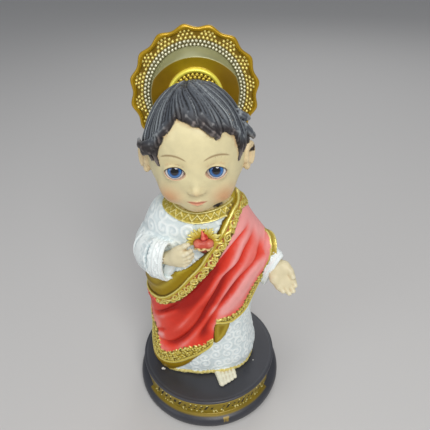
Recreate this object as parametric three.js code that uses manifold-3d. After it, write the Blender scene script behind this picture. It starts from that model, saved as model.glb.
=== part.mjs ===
// Small painted resin statue of a child with a radiant heart, on a turned round base.
// Millimetres, +Z up, front towards -Y, origin at the middle of the base's underside.
// "Left" and "right" in the names below are the viewer's, looking along +Y.
import * as THREE from 'three';
import { mergeVertices } from 'three/addons/utils/BufferGeometryUtils.js';
import Module from 'manifold-3d';

const wasm = await Module();
wasm.setup();

// ---------------------------------------------------------------- driving dimensions
const GAP = 0.3;            // clearance between touching pieces

const BASE_R = 27.0;        // widest radius of the base
const BASE_TOP_R = 25.0;    // radius of the top disc's edge
const BASE_WAIST_R = 24.3;  // radius of the waist that carries the gold band
const BASE_H = 12.1;        // height of the base
const BASE_SEGS = 44;
const BAND_Z = [5.5, 10.6]; // gold band, lower and upper edge
const BAND_ARC = [-65, 59]; // degrees from the front, left and right end
const BAND_RAISE = 0.25;

const FOOT_Z = BASE_H + GAP; // underside of the figure
const NECK_Z = 87;           // where the body loft ends inside the head
const MANTLE_T = 1.1;        // how far the mantle stands off the robe
const TRIM_T = 0.45;         // how far the ornamental borders stand off the mantle
const TRIM_W = 3.4;          // height of the ornamental borders
const FOLD_D = 1.7;          // depth of the mantle's folds
const FAN = [84, 77];        // angle and height that the mantle's folds run from
const FOLD_S = [0.26, 0.16]; // slope of the first fold, slope step to the next

const HEAD = [-1.1, -3.0, 98.2];      // middle of the head
const HEAD_R = [13.5, 13.2, 17.0];    // half width, half depth, half height
const HAIR_T = 1.3;                   // thickness of the hair
const CROWN = [-1.5, 2.5];            // where the hair parts on top, x and y
const EYE_R = 2.9;                    // glass eye
const EYE_X = 5.3;                    // half the distance between the eyes
const EYE_Y = -12.5;
const EYE_Z = 96.4;

const HALO = { x: -1.33, y: 13.0, z: 107.9, tip: 19.06, valley: 17.3, points: 16,
  roll: -3.7, tilt: 2.7, yaw: 3.6 };
const HALO_SEGS = HALO.points * 4;

const COLOURS = {
  base: 0x2b2c33, figure: 0xc9483f, halo: 0xc2942a, eye: 0x163a6b,
};

// ---------------------------------------------------------------- small helpers
const rad = (d) => d * Math.PI / 180;
const clamp = (v, a, b) => Math.min(b, Math.max(a, v));
const bump = (x, w) => Math.exp(-(x * x) / (w * w));
const ease = (a, b, x) => { const t = clamp((x - a) / (b - a), 0, 1); return t * t * (3 - 2 * t); };
const mix = (a, b, t) => a + (b - a) * t;
const wrap = (d) => ((d + 180) % 360 + 360) % 360 - 180;

// smooth value of column k of a table whose first column rises
function station(table, x, k) {
  const n = table.length;
  if (x <= table[0][0]) return table[0][k];
  if (x >= table[n - 1][0]) return table[n - 1][k];
  let i = 0;
  while (table[i + 1][0] < x) i++;
  const slope = (j) => {
    if (j <= 0 || j >= n - 1) return 0;
    const a = (table[j][k] - table[j - 1][k]) / (table[j][0] - table[j - 1][0]);
    const b = (table[j + 1][k] - table[j][k]) / (table[j + 1][0] - table[j][0]);
    return a * b <= 0 ? 0 : 2 * a * b / (a + b);
  };
  const h = table[i + 1][0] - table[i][0];
  const t = (x - table[i][0]) / h;
  const t2 = t * t, t3 = t2 * t;
  return (2 * t3 - 3 * t2 + 1) * table[i][k] + (t3 - 2 * t2 + t) * h * slope(i)
    + (-2 * t3 + 3 * t2) * table[i + 1][k] + (t3 - t2) * h * slope(i + 1);
}

// height of an edge that runs all round the figure, by angle
function edge(table, th) {
  const first = table[0], last = table[table.length - 1];
  const full = [[last[0] - 360, last[1]], ...table, [first[0] + 360, first[1]]];
  return station(full, th, 1);
}

function toGeometry(verts, faces) {
  let volume = 0;
  const a = new THREE.Vector3(), b = new THREE.Vector3(), c = new THREE.Vector3();
  for (const [i, j, k] of faces) {
    a.fromArray(verts[i]); b.fromArray(verts[j]); c.fromArray(verts[k]);
    volume += a.dot(b.cross(c));
  }
  const index = [];
  for (const [i, j, k] of faces) index.push(i, ...(volume > 0 ? [j, k] : [k, j]));
  const g = new THREE.BufferGeometry();
  g.setAttribute('position', new THREE.Float32BufferAttribute(verts.flat(), 3));
  g.setIndex(index);
  return g;
}

// closed body through a row of rings, with a fan at each end
function loft(rings) {
  const n = rings[0].length, verts = [], faces = [];
  for (const ring of rings) for (const p of ring) verts.push(p);
  for (let r = 0; r + 1 < rings.length; r++) {
    for (let i = 0; i < n; i++) {
      const a = r * n + i, b = r * n + (i + 1) % n, c = a + n, d = b + n;
      faces.push([a, b, d], [a, d, c]);
    }
  }
  const middle = (ring) => [0, 1, 2].map((k) => ring.reduce((s, p) => s + p[k], 0) / n);
  const bottom = verts.push(middle(rings[0])) - 1;
  const top = verts.push(middle(rings[rings.length - 1])) - 1;
  const last = (rings.length - 1) * n;
  for (let i = 0; i < n; i++) {
    faces.push([bottom, (i + 1) % n, i]);
    faces.push([top, last + i, last + (i + 1) % n]);
  }
  return toGeometry(verts, faces);
}

// closed ring body: sections all the way round, joined end to end
function hoop(sections) {
  const m = sections.length, n = sections[0].length, verts = [], faces = [];
  for (const s of sections) for (const p of s) verts.push(p);
  for (let s = 0; s < m; s++) {
    for (let i = 0; i < n; i++) {
      const a = s * n + i, b = s * n + (i + 1) % n;
      const c = ((s + 1) % m) * n + i, d = ((s + 1) % m) * n + (i + 1) % n;
      faces.push([a, b, d], [a, d, c]);
    }
  }
  return toGeometry(verts, faces);
}

function solid(geometry) {
  const g = geometry.clone();
  for (const name of Object.keys(g.attributes)) if (name !== 'position') g.deleteAttribute(name);
  const m = mergeVertices(g, 1e-4);
  const pos = m.attributes.position.array, idx = m.index.array, tris = [];
  for (let i = 0; i < idx.length; i += 3) {
    const [a, b, c] = [idx[i], idx[i + 1], idx[i + 2]];
    if (a !== b && b !== c && c !== a) tris.push(a, b, c);
  }
  return new wasm.Manifold(new wasm.Mesh({
    numProp: 3, vertProperties: new Float32Array(pos), triVerts: new Uint32Array(tris),
  }));
}

function geometryOf(manifold) {
  const m = manifold.getMesh();
  const g = new THREE.BufferGeometry();
  g.setAttribute('position', new THREE.BufferAttribute(new Float32Array(m.vertProperties), 3));
  g.setIndex(new THREE.BufferAttribute(new Uint32Array(m.triVerts), 1));
  return g;
}

function joined(geometries) {
  return geometries.map(solid).reduce((a, b) => a.add(b));
}

function ball(at, radii, rotation = [0, 0, 0], segs = 12) {
  const g = new THREE.SphereGeometry(1, segs, Math.max(6, Math.round(segs * 0.6)));
  g.rotateX(Math.PI / 2);
  g.scale(...radii);
  const e = new THREE.Euler(...rotation.map(rad));
  g.applyQuaternion(new THREE.Quaternion().setFromEuler(e));
  g.translate(...at);
  return g;
}

// rounded bar through points, each with its own radius
function bar(points, segs = 8) {
  const P = points.map((p) => new THREE.Vector3(p[0], p[1], p[2]));
  const radius = points.map((p) => p[3]);
  const rings = [];
  const tangent = (i) => P[Math.min(i + 1, P.length - 1)].clone()
    .sub(P[Math.max(i - 1, 0)]).normalize();
  let side = Math.abs(tangent(0).z) < 0.8 ? new THREE.Vector3(0, 0, 1) : new THREE.Vector3(0, 1, 0);
  const ringAt = (c, t, r) => {
    const u = side.clone().sub(t.clone().multiplyScalar(side.dot(t))).normalize();
    side = u;
    const v = t.clone().cross(u);
    const ring = [];
    for (let k = 0; k < segs; k++) {
      const a = 2 * Math.PI * k / segs;
      ring.push(c.clone().addScaledVector(u, r * Math.cos(a)).addScaledVector(v, r * Math.sin(a)).toArray());
    }
    return ring;
  };
  P.forEach((p, i) => {
    const t = tangent(i), r = radius[i];
    if (i === 0) rings.push(ringAt(p.clone().addScaledVector(t, -0.75 * r), t, 0.62 * r));
    rings.push(ringAt(p, t, r));
    if (i === P.length - 1) rings.push(ringAt(p.clone().addScaledVector(t, 0.75 * r), t, 0.62 * r));
  });
  return loft(rings);
}

// wide sleeve: ovals set square to a direction, each [centre, direction, long half, short half]
function sleeve(ovals, segs = 16) {
  return loft(ovals.map(([c, d, long, short]) => {
    const t = new THREE.Vector3(...d).normalize();
    const up = new THREE.Vector3(0, 0, 1);
    const u = up.sub(t.clone().multiplyScalar(up.dot(t))).normalize();
    const v = t.clone().cross(u);
    const ring = [];
    for (let k = 0; k < segs; k++) {
      const a = 2 * Math.PI * k / segs;
      ring.push(new THREE.Vector3(...c).addScaledVector(u, long * Math.cos(a))
        .addScaledVector(v, short * Math.sin(a)).toArray());
    }
    return ring;
  }));
}

// ---------------------------------------------------------------- robe and mantle
// outline of the dressed body with its upper arms: height, left, right, front, back, squareness
const BODY = [
  [12.4, -19.4, 16.2, -12.8, 11.8, 2.5],
  [17, -20.6, 17.4, -13.2, 12.4, 2.5],
  [24, -20.0, 16.4, -13.0, 12.2, 2.4],
  [32, -18.8, 15.4, -12.5, 11.6, 2.3],
  [42, -18.6, 16.4, -12.2, 11.2, 2.2],
  [50, -19.2, 18.6, -12.1, 11.2, 2.1],
  [56, -21.4, 21.4, -12.0, 11.2, 2.0],
  [61, -22.6, 22.4, -11.9, 11.0, 2.0],
  [67, -20.6, 19.0, -11.5, 10.6, 2.0],
  [73, -17.4, 15.0, -10.8, 9.8, 2.0],
  [77, -15.4, 12.8, -9.4, 8.6, 2.0],
  [80, -12.9, 11.4, -7.9, 7.2, 2.0],
  [82.5, -9.0, 8.8, -6.4, 6.0, 2.0],
  [87, -5.2, 4.8, -5.8, 5.0, 2.0],
];
// edges round the body, [angle from the front, height]
const MANTLE_TOP = [[-150, 66], [-120, 61], [-90, 58.6], [-60, 60], [-35, 61.6], [-20, 64.2],
  [3, 66.4], [12, 69], [31, 74], [48, 78], [62, 80.6], [90, 83], [120, 82.2], [150, 78.5], [179, 72]];
const PIPING = [[-150, 55], [-120, 48.5], [-90, 45], [-75, 44.8], [-59, 47], [-45, 51.4],
  [-21, 59.1], [2, 65.4], [12, 68.4], [31, 73.4], [48, 77.4], [62, 80], [90, 82.2], [120, 81.2],
  [150, 74], [179, 64]];
const MANTLE_HEM = [[-150, 23], [-120, 22], [-90, 22], [-77, 22.4], [-68, 21.2], [-58, 20],
  [-44, 21.2], [-26, 23.4], [-11, 25.2], [5, 27.2], [18, 29.3], [23, 37.4], [44, 39.4],
  [66, 40.4], [75, 45], [80, 53], [100, 52], [112, 43], [135, 34], [160, 27], [179, 24.5]];

function section(z) {
  const [xl, xr, yf, yb, n] = [1, 2, 3, 4, 5].map((k) => station(BODY, z, k));
  return { cx: (xl + xr) / 2, cy: (yf + yb) / 2, a: (xr - xl) / 2, b: (yb - yf) / 2, n };
}

function robeRadius(th, z) {
  const { a, b, n } = section(z);
  const s = Math.abs(Math.sin(rad(th))) / a, c = Math.abs(Math.cos(rad(th))) / b;
  let r = Math.pow(Math.pow(s, n) + Math.pow(c, n), -1 / n);
  const low = 1 - ease(18, 44, z);
  r += 0.55 * low * Math.cos(rad(th * 7 + 30));   // soft upright pleats of the skirt
  return r;
}

function foldDepth(th, z) {
  const across = FAN[0] - th;
  const front = ease(-120, -95, th) * (1 - ease(60, 80, th));
  let f = 0;
  if (front > 0 && across > 4) {
    const s = (FAN[1] - z) / across;
    const wave = 0.5 + 0.5 * Math.cos(2 * Math.PI * (s - FOLD_S[0]) / FOLD_S[1]);
    f += FOLD_D * front * Math.pow(wave, 1.4) * ease(0.14, 0.22, s) * (1 - ease(0.6, 0.68, s)) * ease(14, 62, across);
  }
  const back = 1 - ease(-125, -100, th) * (1 - ease(75, 100, th));
  const turn = th < 0 ? th + 360 : th;
  f += 0.9 * back * Math.pow(0.5 + 0.5 * Math.cos(2 * Math.PI * (z + 0.28 * (turn - 90)) / 13), 1.5);
  return f;
}

// kind: 0 robe, 1 mantle, 2 ornamental border, 3 folded-over lining
function bodyPoint(th, z, kind) {
  const { cx, cy } = section(z);
  let r = robeRadius(th, z);
  if (kind === 1) r += MANTLE_T - foldDepth(th, z);
  if (kind === 2) r += MANTLE_T + TRIM_T - 0.35 * foldDepth(th, z);
  if (kind === 3) r += MANTLE_T - 0.2;
  return [cx + r * Math.sin(rad(th)), cy - r * Math.cos(rad(th)), z];
}

function columns() {
  const list = [];
  for (let th = -96; th < 96; th += 8) list.push(th);
  for (let th = 96; th < 264; th += 16.8) list.push(th);
  return list.map(wrap);
}

function body() {
  const cols = columns();
  const rows = [];
  const row = (height, kind) => rows.push(cols.map((th) => bodyPoint(th, height(th), kind)));
  const hem = (th) => edge(MANTLE_HEM, th);
  const pipe = (th) => edge(PIPING, th);
  const top = (th) => Math.max(edge(MANTLE_TOP, th), pipe(th) + 0.7);
  const pipeLow = (th) => Math.max(pipe(th) - TRIM_W, hem(th) + TRIM_W + 2);
  for (let i = 0; i < 3; i++) row((th) => mix(FOOT_Z - 1, hem(th) - 0.15, i / 3), 0);
  row((th) => hem(th) - 0.15, 0);
  row((th) => hem(th) + 0.15, 2);
  row((th) => hem(th) + TRIM_W - 0.3, 2);
  row((th) => hem(th) + TRIM_W, 1);
  const rowsOnMantle = 7;
  for (let i = 1; i < rowsOnMantle; i++) {
    row((th) => mix(hem(th) + TRIM_W, pipeLow(th), i / rowsOnMantle), 1);
  }
  row((th) => pipeLow(th), 1);
  row((th) => pipeLow(th) + 0.3, 2);
  row((th) => pipe(th), 2);
  row((th) => pipe(th) + 0.35, 3);
  row((th) => top(th) - 0.1, 3);
  row((th) => top(th) + 0.2, 0);
  const rowsOnShoulder = 5;
  for (let i = 1; i <= rowsOnShoulder; i++) {
    row((th) => mix(top(th) + 0.2, NECK_Z, i / rowsOnShoulder), 0);
  }
  return loft(rows);
}

// flat ring of cloth lying on the shoulders, between two heights
function collar() {
  const sections = [];
  for (let i = 0; i < 30; i++) {
    const th = -180 + 12 * i;
    const lift = 1 - Math.cos(rad(th));
    const low = 77.4 + 0.75 * lift, high = low + 2.7;
    const p = (z, out) => {
      const { cx, cy } = section(z);
      const r = robeRadius(th, z) + out;
      return [cx + r * Math.sin(rad(th)), cy - r * Math.cos(rad(th)), z];
    };
    sections.push([p(low, -1.2), p(low, 0.7), p(high, 0.6), p(high, -1.2)]);
  }
  return hoop(sections);
}

// ---------------------------------------------------------------- sleeves, hands, foot
const leftSleeve = sleeve([
  [[-18.4, -0.5, 61.6], [-0.2, -1, 0.1], 6.8, 4.0],
  [[-17.6, -4.5, 62.0], [0.15, -1, 0.15], 7.6, 5.0],
  [[-15.6, -8.6, 63.6], [0.55, -0.85, 0.25], 8.0, 4.6],
  [[-13.0, -11.3, 65.0], [0.8, -0.6, 0.3], 8.2, 4.1],
  [[-11.9, -12.1, 65.5], [0.8, -0.6, 0.3], 8.3, 4.0],
  [[-10.9, -12.5, 65.9], [0.8, -0.6, 0.3], 6.4, 2.9],
]);
// gold-edged end of the mantle round the right forearm
const mantleCuff = sleeve([
  [[14.5, -1.4, 61.6], [0.9, -0.35, -0.25], 7.4, 6.0],
  [[18.4, -3.0, 60.8], [0.9, -0.35, -0.25], 8.2, 5.6],
  [[20.2, -3.7, 60.4], [0.9, -0.35, -0.25], 8.0, 5.0],
  [[20.6, -3.9, 60.3], [0.9, -0.35, -0.25], 6.8, 4.0],
]);
const rightSleeve = sleeve([
  [[17.6, -1.2, 61.8], [0.7, -0.5, -0.4], 6.6, 4.6],
  [[20.4, -3.6, 59.6], [0.7, -0.55, -0.45], 6.5, 4.4],
  [[22.0, -5.0, 57.8], [0.72, -0.5, -0.48], 6.4, 4.0],
  [[22.8, -5.5, 57.2], [0.72, -0.5, -0.48], 6.2, 3.8],
  [[23.0, -5.8, 57.0], [0.72, -0.5, -0.48], 4.6, 2.8],
]);

function handAtHeart() {
  const parts = [
    bar([[-13.5, -11.0, 65.6, 2.8], [-10.6, -12.4, 67.0, 3.0], [-8.4, -13.3, 68.6, 3.2]], 8),
    ball([-7.2, -13.4, 69.0], [4.0, 2.7, 4.4], [0, 0, 10], 10),
  ];
  for (let k = 0; k < 4; k++) {
    const z = 71.3 - 1.75 * k;
    const reach = [0, 0.5, 0.4, -0.3][k];
    parts.push(bar([[-7.2, -15.0, z - 0.2, 1.05], [-3.9 + reach, -15.6, z, 1.05],
      [-3.0 + reach, -13.2, z - 0.3, 0.9]], 6));
  }
  parts.push(bar([[-8.0, -13.6, 71.0, 1.4], [-6.0, -13.8, 72.9, 1.2], [-4.1, -13.4, 73.7, 0.95]], 6));
  return parts;
}

function openHand() {
  const wrist = new THREE.Vector3(22.6, -6.6, 57.2);
  const along = new THREE.Vector3(0.62, -0.40, -0.68).normalize();
  const across = new THREE.Vector3(0.72, 0.10, 0.60);
  across.addScaledVector(along, -across.dot(along)).normalize();
  const out = along.clone().cross(across).normalize();
  if (out.y > 0) out.negate();
  const at = (l, w, h, r) => {
    const p = wrist.clone().addScaledVector(along, l).addScaledVector(across, w).addScaledVector(out, h);
    return [p.x, p.y, p.z, r];
  };
  const parts = [
    bar([at(-3.5, 0, 0, 2.6), at(0, 0, 0, 2.5), at(2.5, 0.1, 0, 2.2)], 10),
    bar([at(1.2, 1.5, 0.1, 1.7), at(4.5, 1.9, 0, 1.6)], 7),
    bar([at(1.2, -1.3, 0.1, 1.7), at(4.5, -1.5, 0, 1.6)], 7),
    bar([at(1.2, 2.0, 0.8, 1.4), at(3.6, 3.4, 1.0, 1.15), at(5.8, 3.5, 1.2, 0.95)], 6),
  ];
  [2.3, 0.75, -0.8, -2.2].forEach((w, k) => {
    const reach = [8.3, 8.9, 8.7, 7.8][k];
    parts.push(bar([at(4.2, w, 0, 1.0), at(6.6, w * 1.04, 0.1, 0.95), at(reach, w * 1.02, 0.6, 0.8)], 6));
  });
  return parts;
}

function foot() {
  const parts = [bar([[5.6, -8.0, 14.6, 3.0], [6.2, -13.0, 14.4, 2.9], [6.8, -15.8, 13.6, 2.6]], 8)];
  for (let k = 0; k < 5; k++) {
    const t = k / 4;
    const tip = [4.6 + 5.0 * t, -18.2 + 2.4 * t ** 1.4, 13.2 - 0.2 * t];
    const r = [1.1, 0.85, 0.8, 0.75, 0.68][k];
    parts.push(bar([[5.2 + 3.4 * t, -14.8 + 0.6 * t, 13.6, r + 0.35], [...tip, r]], 6));
  }
  return parts;
}

// ---------------------------------------------------------------- heart, flame and rays
function heart() {
  const [x, y, z] = [0.1, -12.3, 71.6];
  const parts = [
    ball([x - 1.45, y, z + 0.6], [1.75, 1.7, 1.7], [0, 0, 0], 8),
    ball([x + 1.45, y, z + 0.6], [1.75, 1.7, 1.7], [0, 0, 0], 8),
    bar([[x, y, z + 0.3, 2.2], [x, y + 0.2, z - 1.6, 1.6], [x, y + 0.4, z - 3.0, 0.8]], 8),
    bar([[x, y + 0.1, z + 1.6, 1.0], [x, y, z + 3.0, 0.85], [x + 0.1, y + 0.1, z + 4.7, 0.35]], 6),
  ];
  for (let k = 0; k < 9; k++) {
    const a = rad(-22 + 28 * k);
    const long = k % 2 ? 5.4 : 4.6;
    const ray = new THREE.ConeGeometry(0.75, long, 4);
    ray.translate(0, long / 2, 0);
    ray.rotateZ(a - Math.PI / 2);
    ray.rotateX(Math.PI / 2);
    ray.translate(x, y + 1.2, z + 0.8);
    parts.push(ray);
  }
  return parts;
}

// ---------------------------------------------------------------- head
// direction from the head's middle: azimuth from the front, height -1 to 1
function facePoint(az, up, out = 0) {
  const power = up < 0 ? 2.35 : 2.0;                       // full cheeks, round crown
  const s = Math.sqrt(Math.max(0, 1 - Math.pow(Math.abs(up), power)));
  const dx = s * Math.sin(rad(az)), dy = -s * Math.cos(rad(az));
  const front = Math.max(0, Math.cos(rad(az)));
  const jaw = 1 - 0.07 * ease(-0.35, -0.95, up);
  const x = HEAD[0] + (HEAD_R[0] * jaw + out) * dx;
  let y = HEAD[1] + (HEAD_R[1] + out) * dy;
  const z = HEAD[2] + (HEAD_R[2] + out) * up;
  if (y > HEAD[1]) y = HEAD[1] + (y - HEAD[1]) * 0.98;
  const fx = x - HEAD[0];
  const dz = z - EYE_Z;
  if (front > 0.2) {
    y -= 1.7 * bump(fx, 1.6) * bump(dz + 5.6, 1.7) + 0.8 * bump(fx, 1.3) * ease(-6, -4, dz) * (1 - ease(-1, 3, dz)); // nose
    y -= 0.8 * bump(fx, 2.8) * bump(dz + 9.4, 1.4);           // lips
    y -= 0.9 * bump(fx, 3.0) * bump(dz + 13.0, 1.9);          // chin
    y -= 0.6 * bump(Math.abs(fx) - 7.0, 3.2) * bump(dz + 6.0, 3.4); // cheeks
    y += 0.9 * bump(Math.abs(fx) - EYE_X, 3.0) * bump(dz, 2.6);     // eye hollows
    y -= 0.5 * ease(3, 9, dz) * (1 - ease(12, 18, dz));       // forehead
  }
  return [x, y, z];
}

// lower edge of the hair round the head, height by azimuth
const HAIRLINE = [[-150, 88], [-110, 92], [-84, 97], [-62, 100.5], [-48, 99.6], [-40, 103.4],
  [-30, 107.4], [-23, 110.4], [-14, 109.4], [0, 108.4], [12, 108.9], [22, 106.4], [30, 106.3],
  [46, 105.4], [54, 98.6], [62, 98.0], [72, 102.4], [90, 99.5], [110, 92], [150, 88], [179, 87]];

function head() {
  const segs = 30, rows = 17;
  const rings = [];
  for (let r = 1; r < rows; r++) {
    const up = -Math.cos(Math.PI * r / rows);
    const ring = [];
    for (let i = 0; i < segs; i++) {
      const az = wrap(360 * i / segs);
      const p = facePoint(az, up);
      const cover = ease(-0.5, 0.7, p[2] - edge(HAIRLINE, az));
      const turn = Math.atan2(p[0] - CROWN[0], -(p[1] - CROWN[1]));
      const strand = 0.3 * Math.cos(12 * turn) * ease(0.1, 0.5, 1 - up);
      ring.push(facePoint(az, up, (HAIR_T + strand) * cover));
    }
    rings.push(ring);
  }
  return loft(rings);
}

function ears() {
  const parts = [];
  for (const [x, tip] of [[HEAD[0] - 13.2, -1], [HEAD[0] + 13.2, 1]]) {
    parts.push(ball([x + 0.9 * tip, -3.8, 96.0], [1.7, 2.1, 3.8], [0, 0, 0], 8));
  }
  return parts;
}

// locks that stand off the head: points on the head with a radius
function locks() {
  const lock = (list) => bar(list.map(([az, z, out, r]) => {
    const up = clamp((z - HEAD[2]) / HEAD_R[2], -0.98, 0.98);
    return [...facePoint(az, up, out), r];
  }), 5);
  return [
    lock([[-36, 107, 0.6, 1.5], [-48, 103.5, 1.0, 1.4], [-62, 101.2, 1.8, 1.2], [-72, 102.4, 2.4, 0.8]]),
    lock([[-44, 103.5, 0.4, 1.2], [-50, 100.5, 0.3, 0.9], [-47, 97.8, 0.1, 0.5]]),
    lock([[2, 110, 0.7, 1.3], [14, 107.6, 0.9, 1.3], [25, 106, 0.9, 1.0]]),
    lock([[34, 109, 0.8, 1.4], [46, 106.4, 0.9, 1.3], [54, 104.6, 0.8, 1.0]]),
    lock([[58, 103, 0.5, 1.1], [60, 99.8, 0.4, 0.9], [57, 97.4, 0.2, 0.5]]),
    lock([[82, 105, 0.9, 1.4], [88, 102.2, 1.6, 1.1], [92, 100.4, 2.2, 0.6]]),
  ];
}

// ---------------------------------------------------------------- halo
function haloPoint(phi, r, forward) {
  const a = rad(phi);
  const { x, y, z, tilt, yaw } = HALO;
  const c = Math.cos(a) * r, s = Math.sin(a) * r;
  return [x + c * Math.cos(rad(yaw)) + forward * Math.sin(rad(yaw)),
    y + s * Math.sin(rad(tilt)) + c * Math.sin(rad(yaw)) - forward * Math.cos(rad(yaw)),
    z + s * Math.cos(rad(tilt)) + forward * Math.sin(rad(tilt))];
}

function haloEdge(phi) {
  const u = (phi - 90 - HALO.roll) / (360 / HALO.points);
  const t = Math.abs(((u % 1) + 1) % 1 - 0.5) * 2;       // 1 at a valley, 0 at a tip
  return mix(HALO.tip, HALO.valley, Math.pow(t, 0.75) * (1.15 - 0.15 * t));
}

// rows from the middle of the back, over the edge, to the middle of the front;
// grown, it is the seat in the back of the head, without the hollow inside the ring
function halo(grow = 0) {
  const rows = [
    [() => 9.0, -1.7], [(e) => e - 2.2, -1.3],
    [(e) => e, -0.4], [(e) => e - 0.6, 0.7],
    [() => 13.2, 0.0], [() => 11.7, 2.9], [() => 9.6, 3.1],
    [() => 8.4, 5.6], ...(grow ? [] : [[() => 7.2, 3.9]]),
  ];
  const rings = rows.map(([radius, forward]) => {
    const ring = [];
    for (let i = 0; i < HALO_SEGS; i++) {
      const phi = 90 + HALO.roll + 360 * i / HALO_SEGS;
      const side = forward < -0.5 ? -1 : 1;
      ring.push(haloPoint(phi, radius(haloEdge(phi)) + grow, forward + side * grow));
    }
    return ring;
  });
  return loft(rings);
}

// ---------------------------------------------------------------- base
function base() {
  const profile = [
    [0, 0], [26.0, 0], [BASE_R, 1.5], [BASE_R, 3.3], [25.8, 4.9],
    [BASE_WAIST_R, 5.3], [BASE_WAIST_R, 10.6], [BASE_TOP_R, 11.0],
    [BASE_TOP_R, 11.8], [24.7, BASE_H], [0, BASE_H],
  ].map(([r, z]) => new THREE.Vector2(r, z));
  const turned = new THREE.LatheGeometry(profile, BASE_SEGS);
  turned.rotateX(Math.PI / 2);
  const strip = new THREE.Shape();
  const outer = BASE_WAIST_R + BAND_RAISE, inner = BASE_WAIST_R - 1.5;
  const [a0, a1] = BAND_ARC.map((d) => rad(d - 90));
  strip.absarc(0, 0, outer, a0, a1, false);
  strip.absarc(0, 0, inner, a1, a0, true);
  const band = new THREE.ExtrudeGeometry(strip, {
    depth: BAND_Z[1] - BAND_Z[0], bevelEnabled: false, curveSegments: 16,
  });
  band.translate(0, 0, BAND_Z[0]);
  return solid(turned).add(solid(band));
}

// ---------------------------------------------------------------- assembly
const material = (color, roughness, metalness) => new THREE.MeshStandardMaterial({ color, roughness, metalness });

const slab = new THREE.BoxGeometry(120, 120, 140);
slab.translate(0, 0, FOOT_Z + 70);

const eyeAt = (side) => [HEAD[0] + side * EYE_X, EYE_Y, EYE_Z];
let figure = joined([
  body(), collar(), leftSleeve, mantleCuff, rightSleeve, ...handAtHeart(), ...openHand(), ...foot(),
  ...heart(), head(), ...ears(), ...locks(),
]);
figure = figure.intersect(solid(slab));
// the one body, without the specks of air shut in where small pieces meet
figure = figure.decompose().reduce((a, b) => (a.volume() > b.volume() ? a : b));
figure = figure.subtract(solid(halo(GAP)));
for (const side of [-1, 1]) {
  const r = EYE_R + GAP;
  const socket = ball(eyeAt(side), [r, r, r], [0, 0, 0], 11);
  figure = figure.subtract(solid(socket));
}

const group = new THREE.Group();
const add = (name, geometry, mat) => {
  const g = geometry.clone();
  g.computeVertexNormals();
  const mesh = new THREE.Mesh(g, mat);
  mesh.name = name;
  group.add(mesh);
};
add('base', geometryOf(base()), material(COLOURS.base, 0.45, 0));
add('figure', geometryOf(figure), material(COLOURS.figure, 0.5, 0));
add('halo', geometryOf(solid(halo())), material(COLOURS.halo, 0.35, 0.8));
for (const [name, side] of [['eye_left', -1], ['eye_right', 1]]) {
  const eye = ball(eyeAt(side), [EYE_R, EYE_R, EYE_R], [0, 0, 0], 11);
  add(name, geometryOf(solid(eye)), material(COLOURS.eye, 0.08, 0));
}

export default group;
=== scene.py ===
# Painted resin statue of a child with a radiant heart, on a turned round base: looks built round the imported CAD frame.
# Working units are millimetres in the shared frame (+Z up, front towards -Y); meshes are written in metres.
# "Left" and "right" are the viewer's, looking along +Y.
import bpy
import math
import numpy as np
from mathutils import Matrix, Vector


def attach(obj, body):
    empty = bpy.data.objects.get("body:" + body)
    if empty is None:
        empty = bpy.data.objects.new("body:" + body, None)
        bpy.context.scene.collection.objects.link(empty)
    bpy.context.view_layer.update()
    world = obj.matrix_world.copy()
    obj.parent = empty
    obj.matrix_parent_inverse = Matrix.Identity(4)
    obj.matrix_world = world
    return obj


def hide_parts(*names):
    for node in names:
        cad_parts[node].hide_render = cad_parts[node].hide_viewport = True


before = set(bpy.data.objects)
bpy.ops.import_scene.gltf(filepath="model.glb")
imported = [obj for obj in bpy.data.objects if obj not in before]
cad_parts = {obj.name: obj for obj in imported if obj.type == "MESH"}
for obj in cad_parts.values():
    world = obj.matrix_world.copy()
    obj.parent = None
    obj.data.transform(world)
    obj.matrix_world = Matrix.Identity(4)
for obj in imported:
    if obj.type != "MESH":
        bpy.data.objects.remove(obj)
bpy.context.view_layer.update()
MM = 0.001

VOXEL = 0.27        # grid of the figure's distance field
KEEP_TRIS = 84000  # triangles kept before detail is added back
FINE_TRIS = 196000  # triangles of the figure at most


# ---------------------------------------------------------------- small helpers
def wrap(d):
    return (np.asarray(d) + 180.0) % 360.0 - 180.0


def ease(a, b, x):
    t = np.clip((x - a) / (b - a), 0.0, 1.0)
    return t * t * (3 - 2 * t)


def bell(x, w):
    return np.exp(-(x / w) ** 2)


def mix(a, b, t):
    return a + (b - a) * t


def smin(a, b, k):
    h = np.maximum(k - np.abs(a - b), 0.0) / k
    return np.minimum(a, b) - h * h * k * 0.25


def smax(a, b, k):
    return -smin(-a, -b, k)


def hashed(i, j, seed):
    v = np.sin(i * 127.1 + j * 311.7 + seed * 74.7) * 43758.5453
    return v - np.floor(v)


def curve(points, periodic=False):
    """Smooth value through (x, y) points, with flat ends unless it goes all the way round."""
    p = np.array(points, float)
    if periodic:
        last, first = p[-1], p[0]
        p = np.vstack([[last[0] - 360, last[1]], p, [first[0] + 360, first[1]]])
    x, y = p[:, 0], p[:, 1]
    h = np.diff(x)
    d = np.diff(y) / h
    m = np.zeros_like(y)
    s = d[:-1] + d[1:]
    ok = d[:-1] * d[1:] > 0
    m[1:-1][ok] = 2 * (d[:-1] * d[1:])[ok] / s[ok]

    def f(v):
        v = np.clip(v, x[0], x[-1])
        i = np.clip(np.searchsorted(x, v, side="right") - 1, 0, len(x) - 2)
        t = (v - x[i]) / h[i]
        t2 = t * t
        t3 = t2 * t
        return ((2 * t3 - 3 * t2 + 1) * y[i] + (t3 - 2 * t2 + t) * h[i] * m[i]
                + (-2 * t3 + 3 * t2) * y[i + 1] + (t3 - t2) * h[i] * m[i + 1])
    return f


def srgb(r, g, b):
    c = np.array([r, g, b], float) / 255.0
    return np.where(c <= 0.04045, c / 12.92, ((c + 0.055) / 1.055) ** 2.4)


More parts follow.
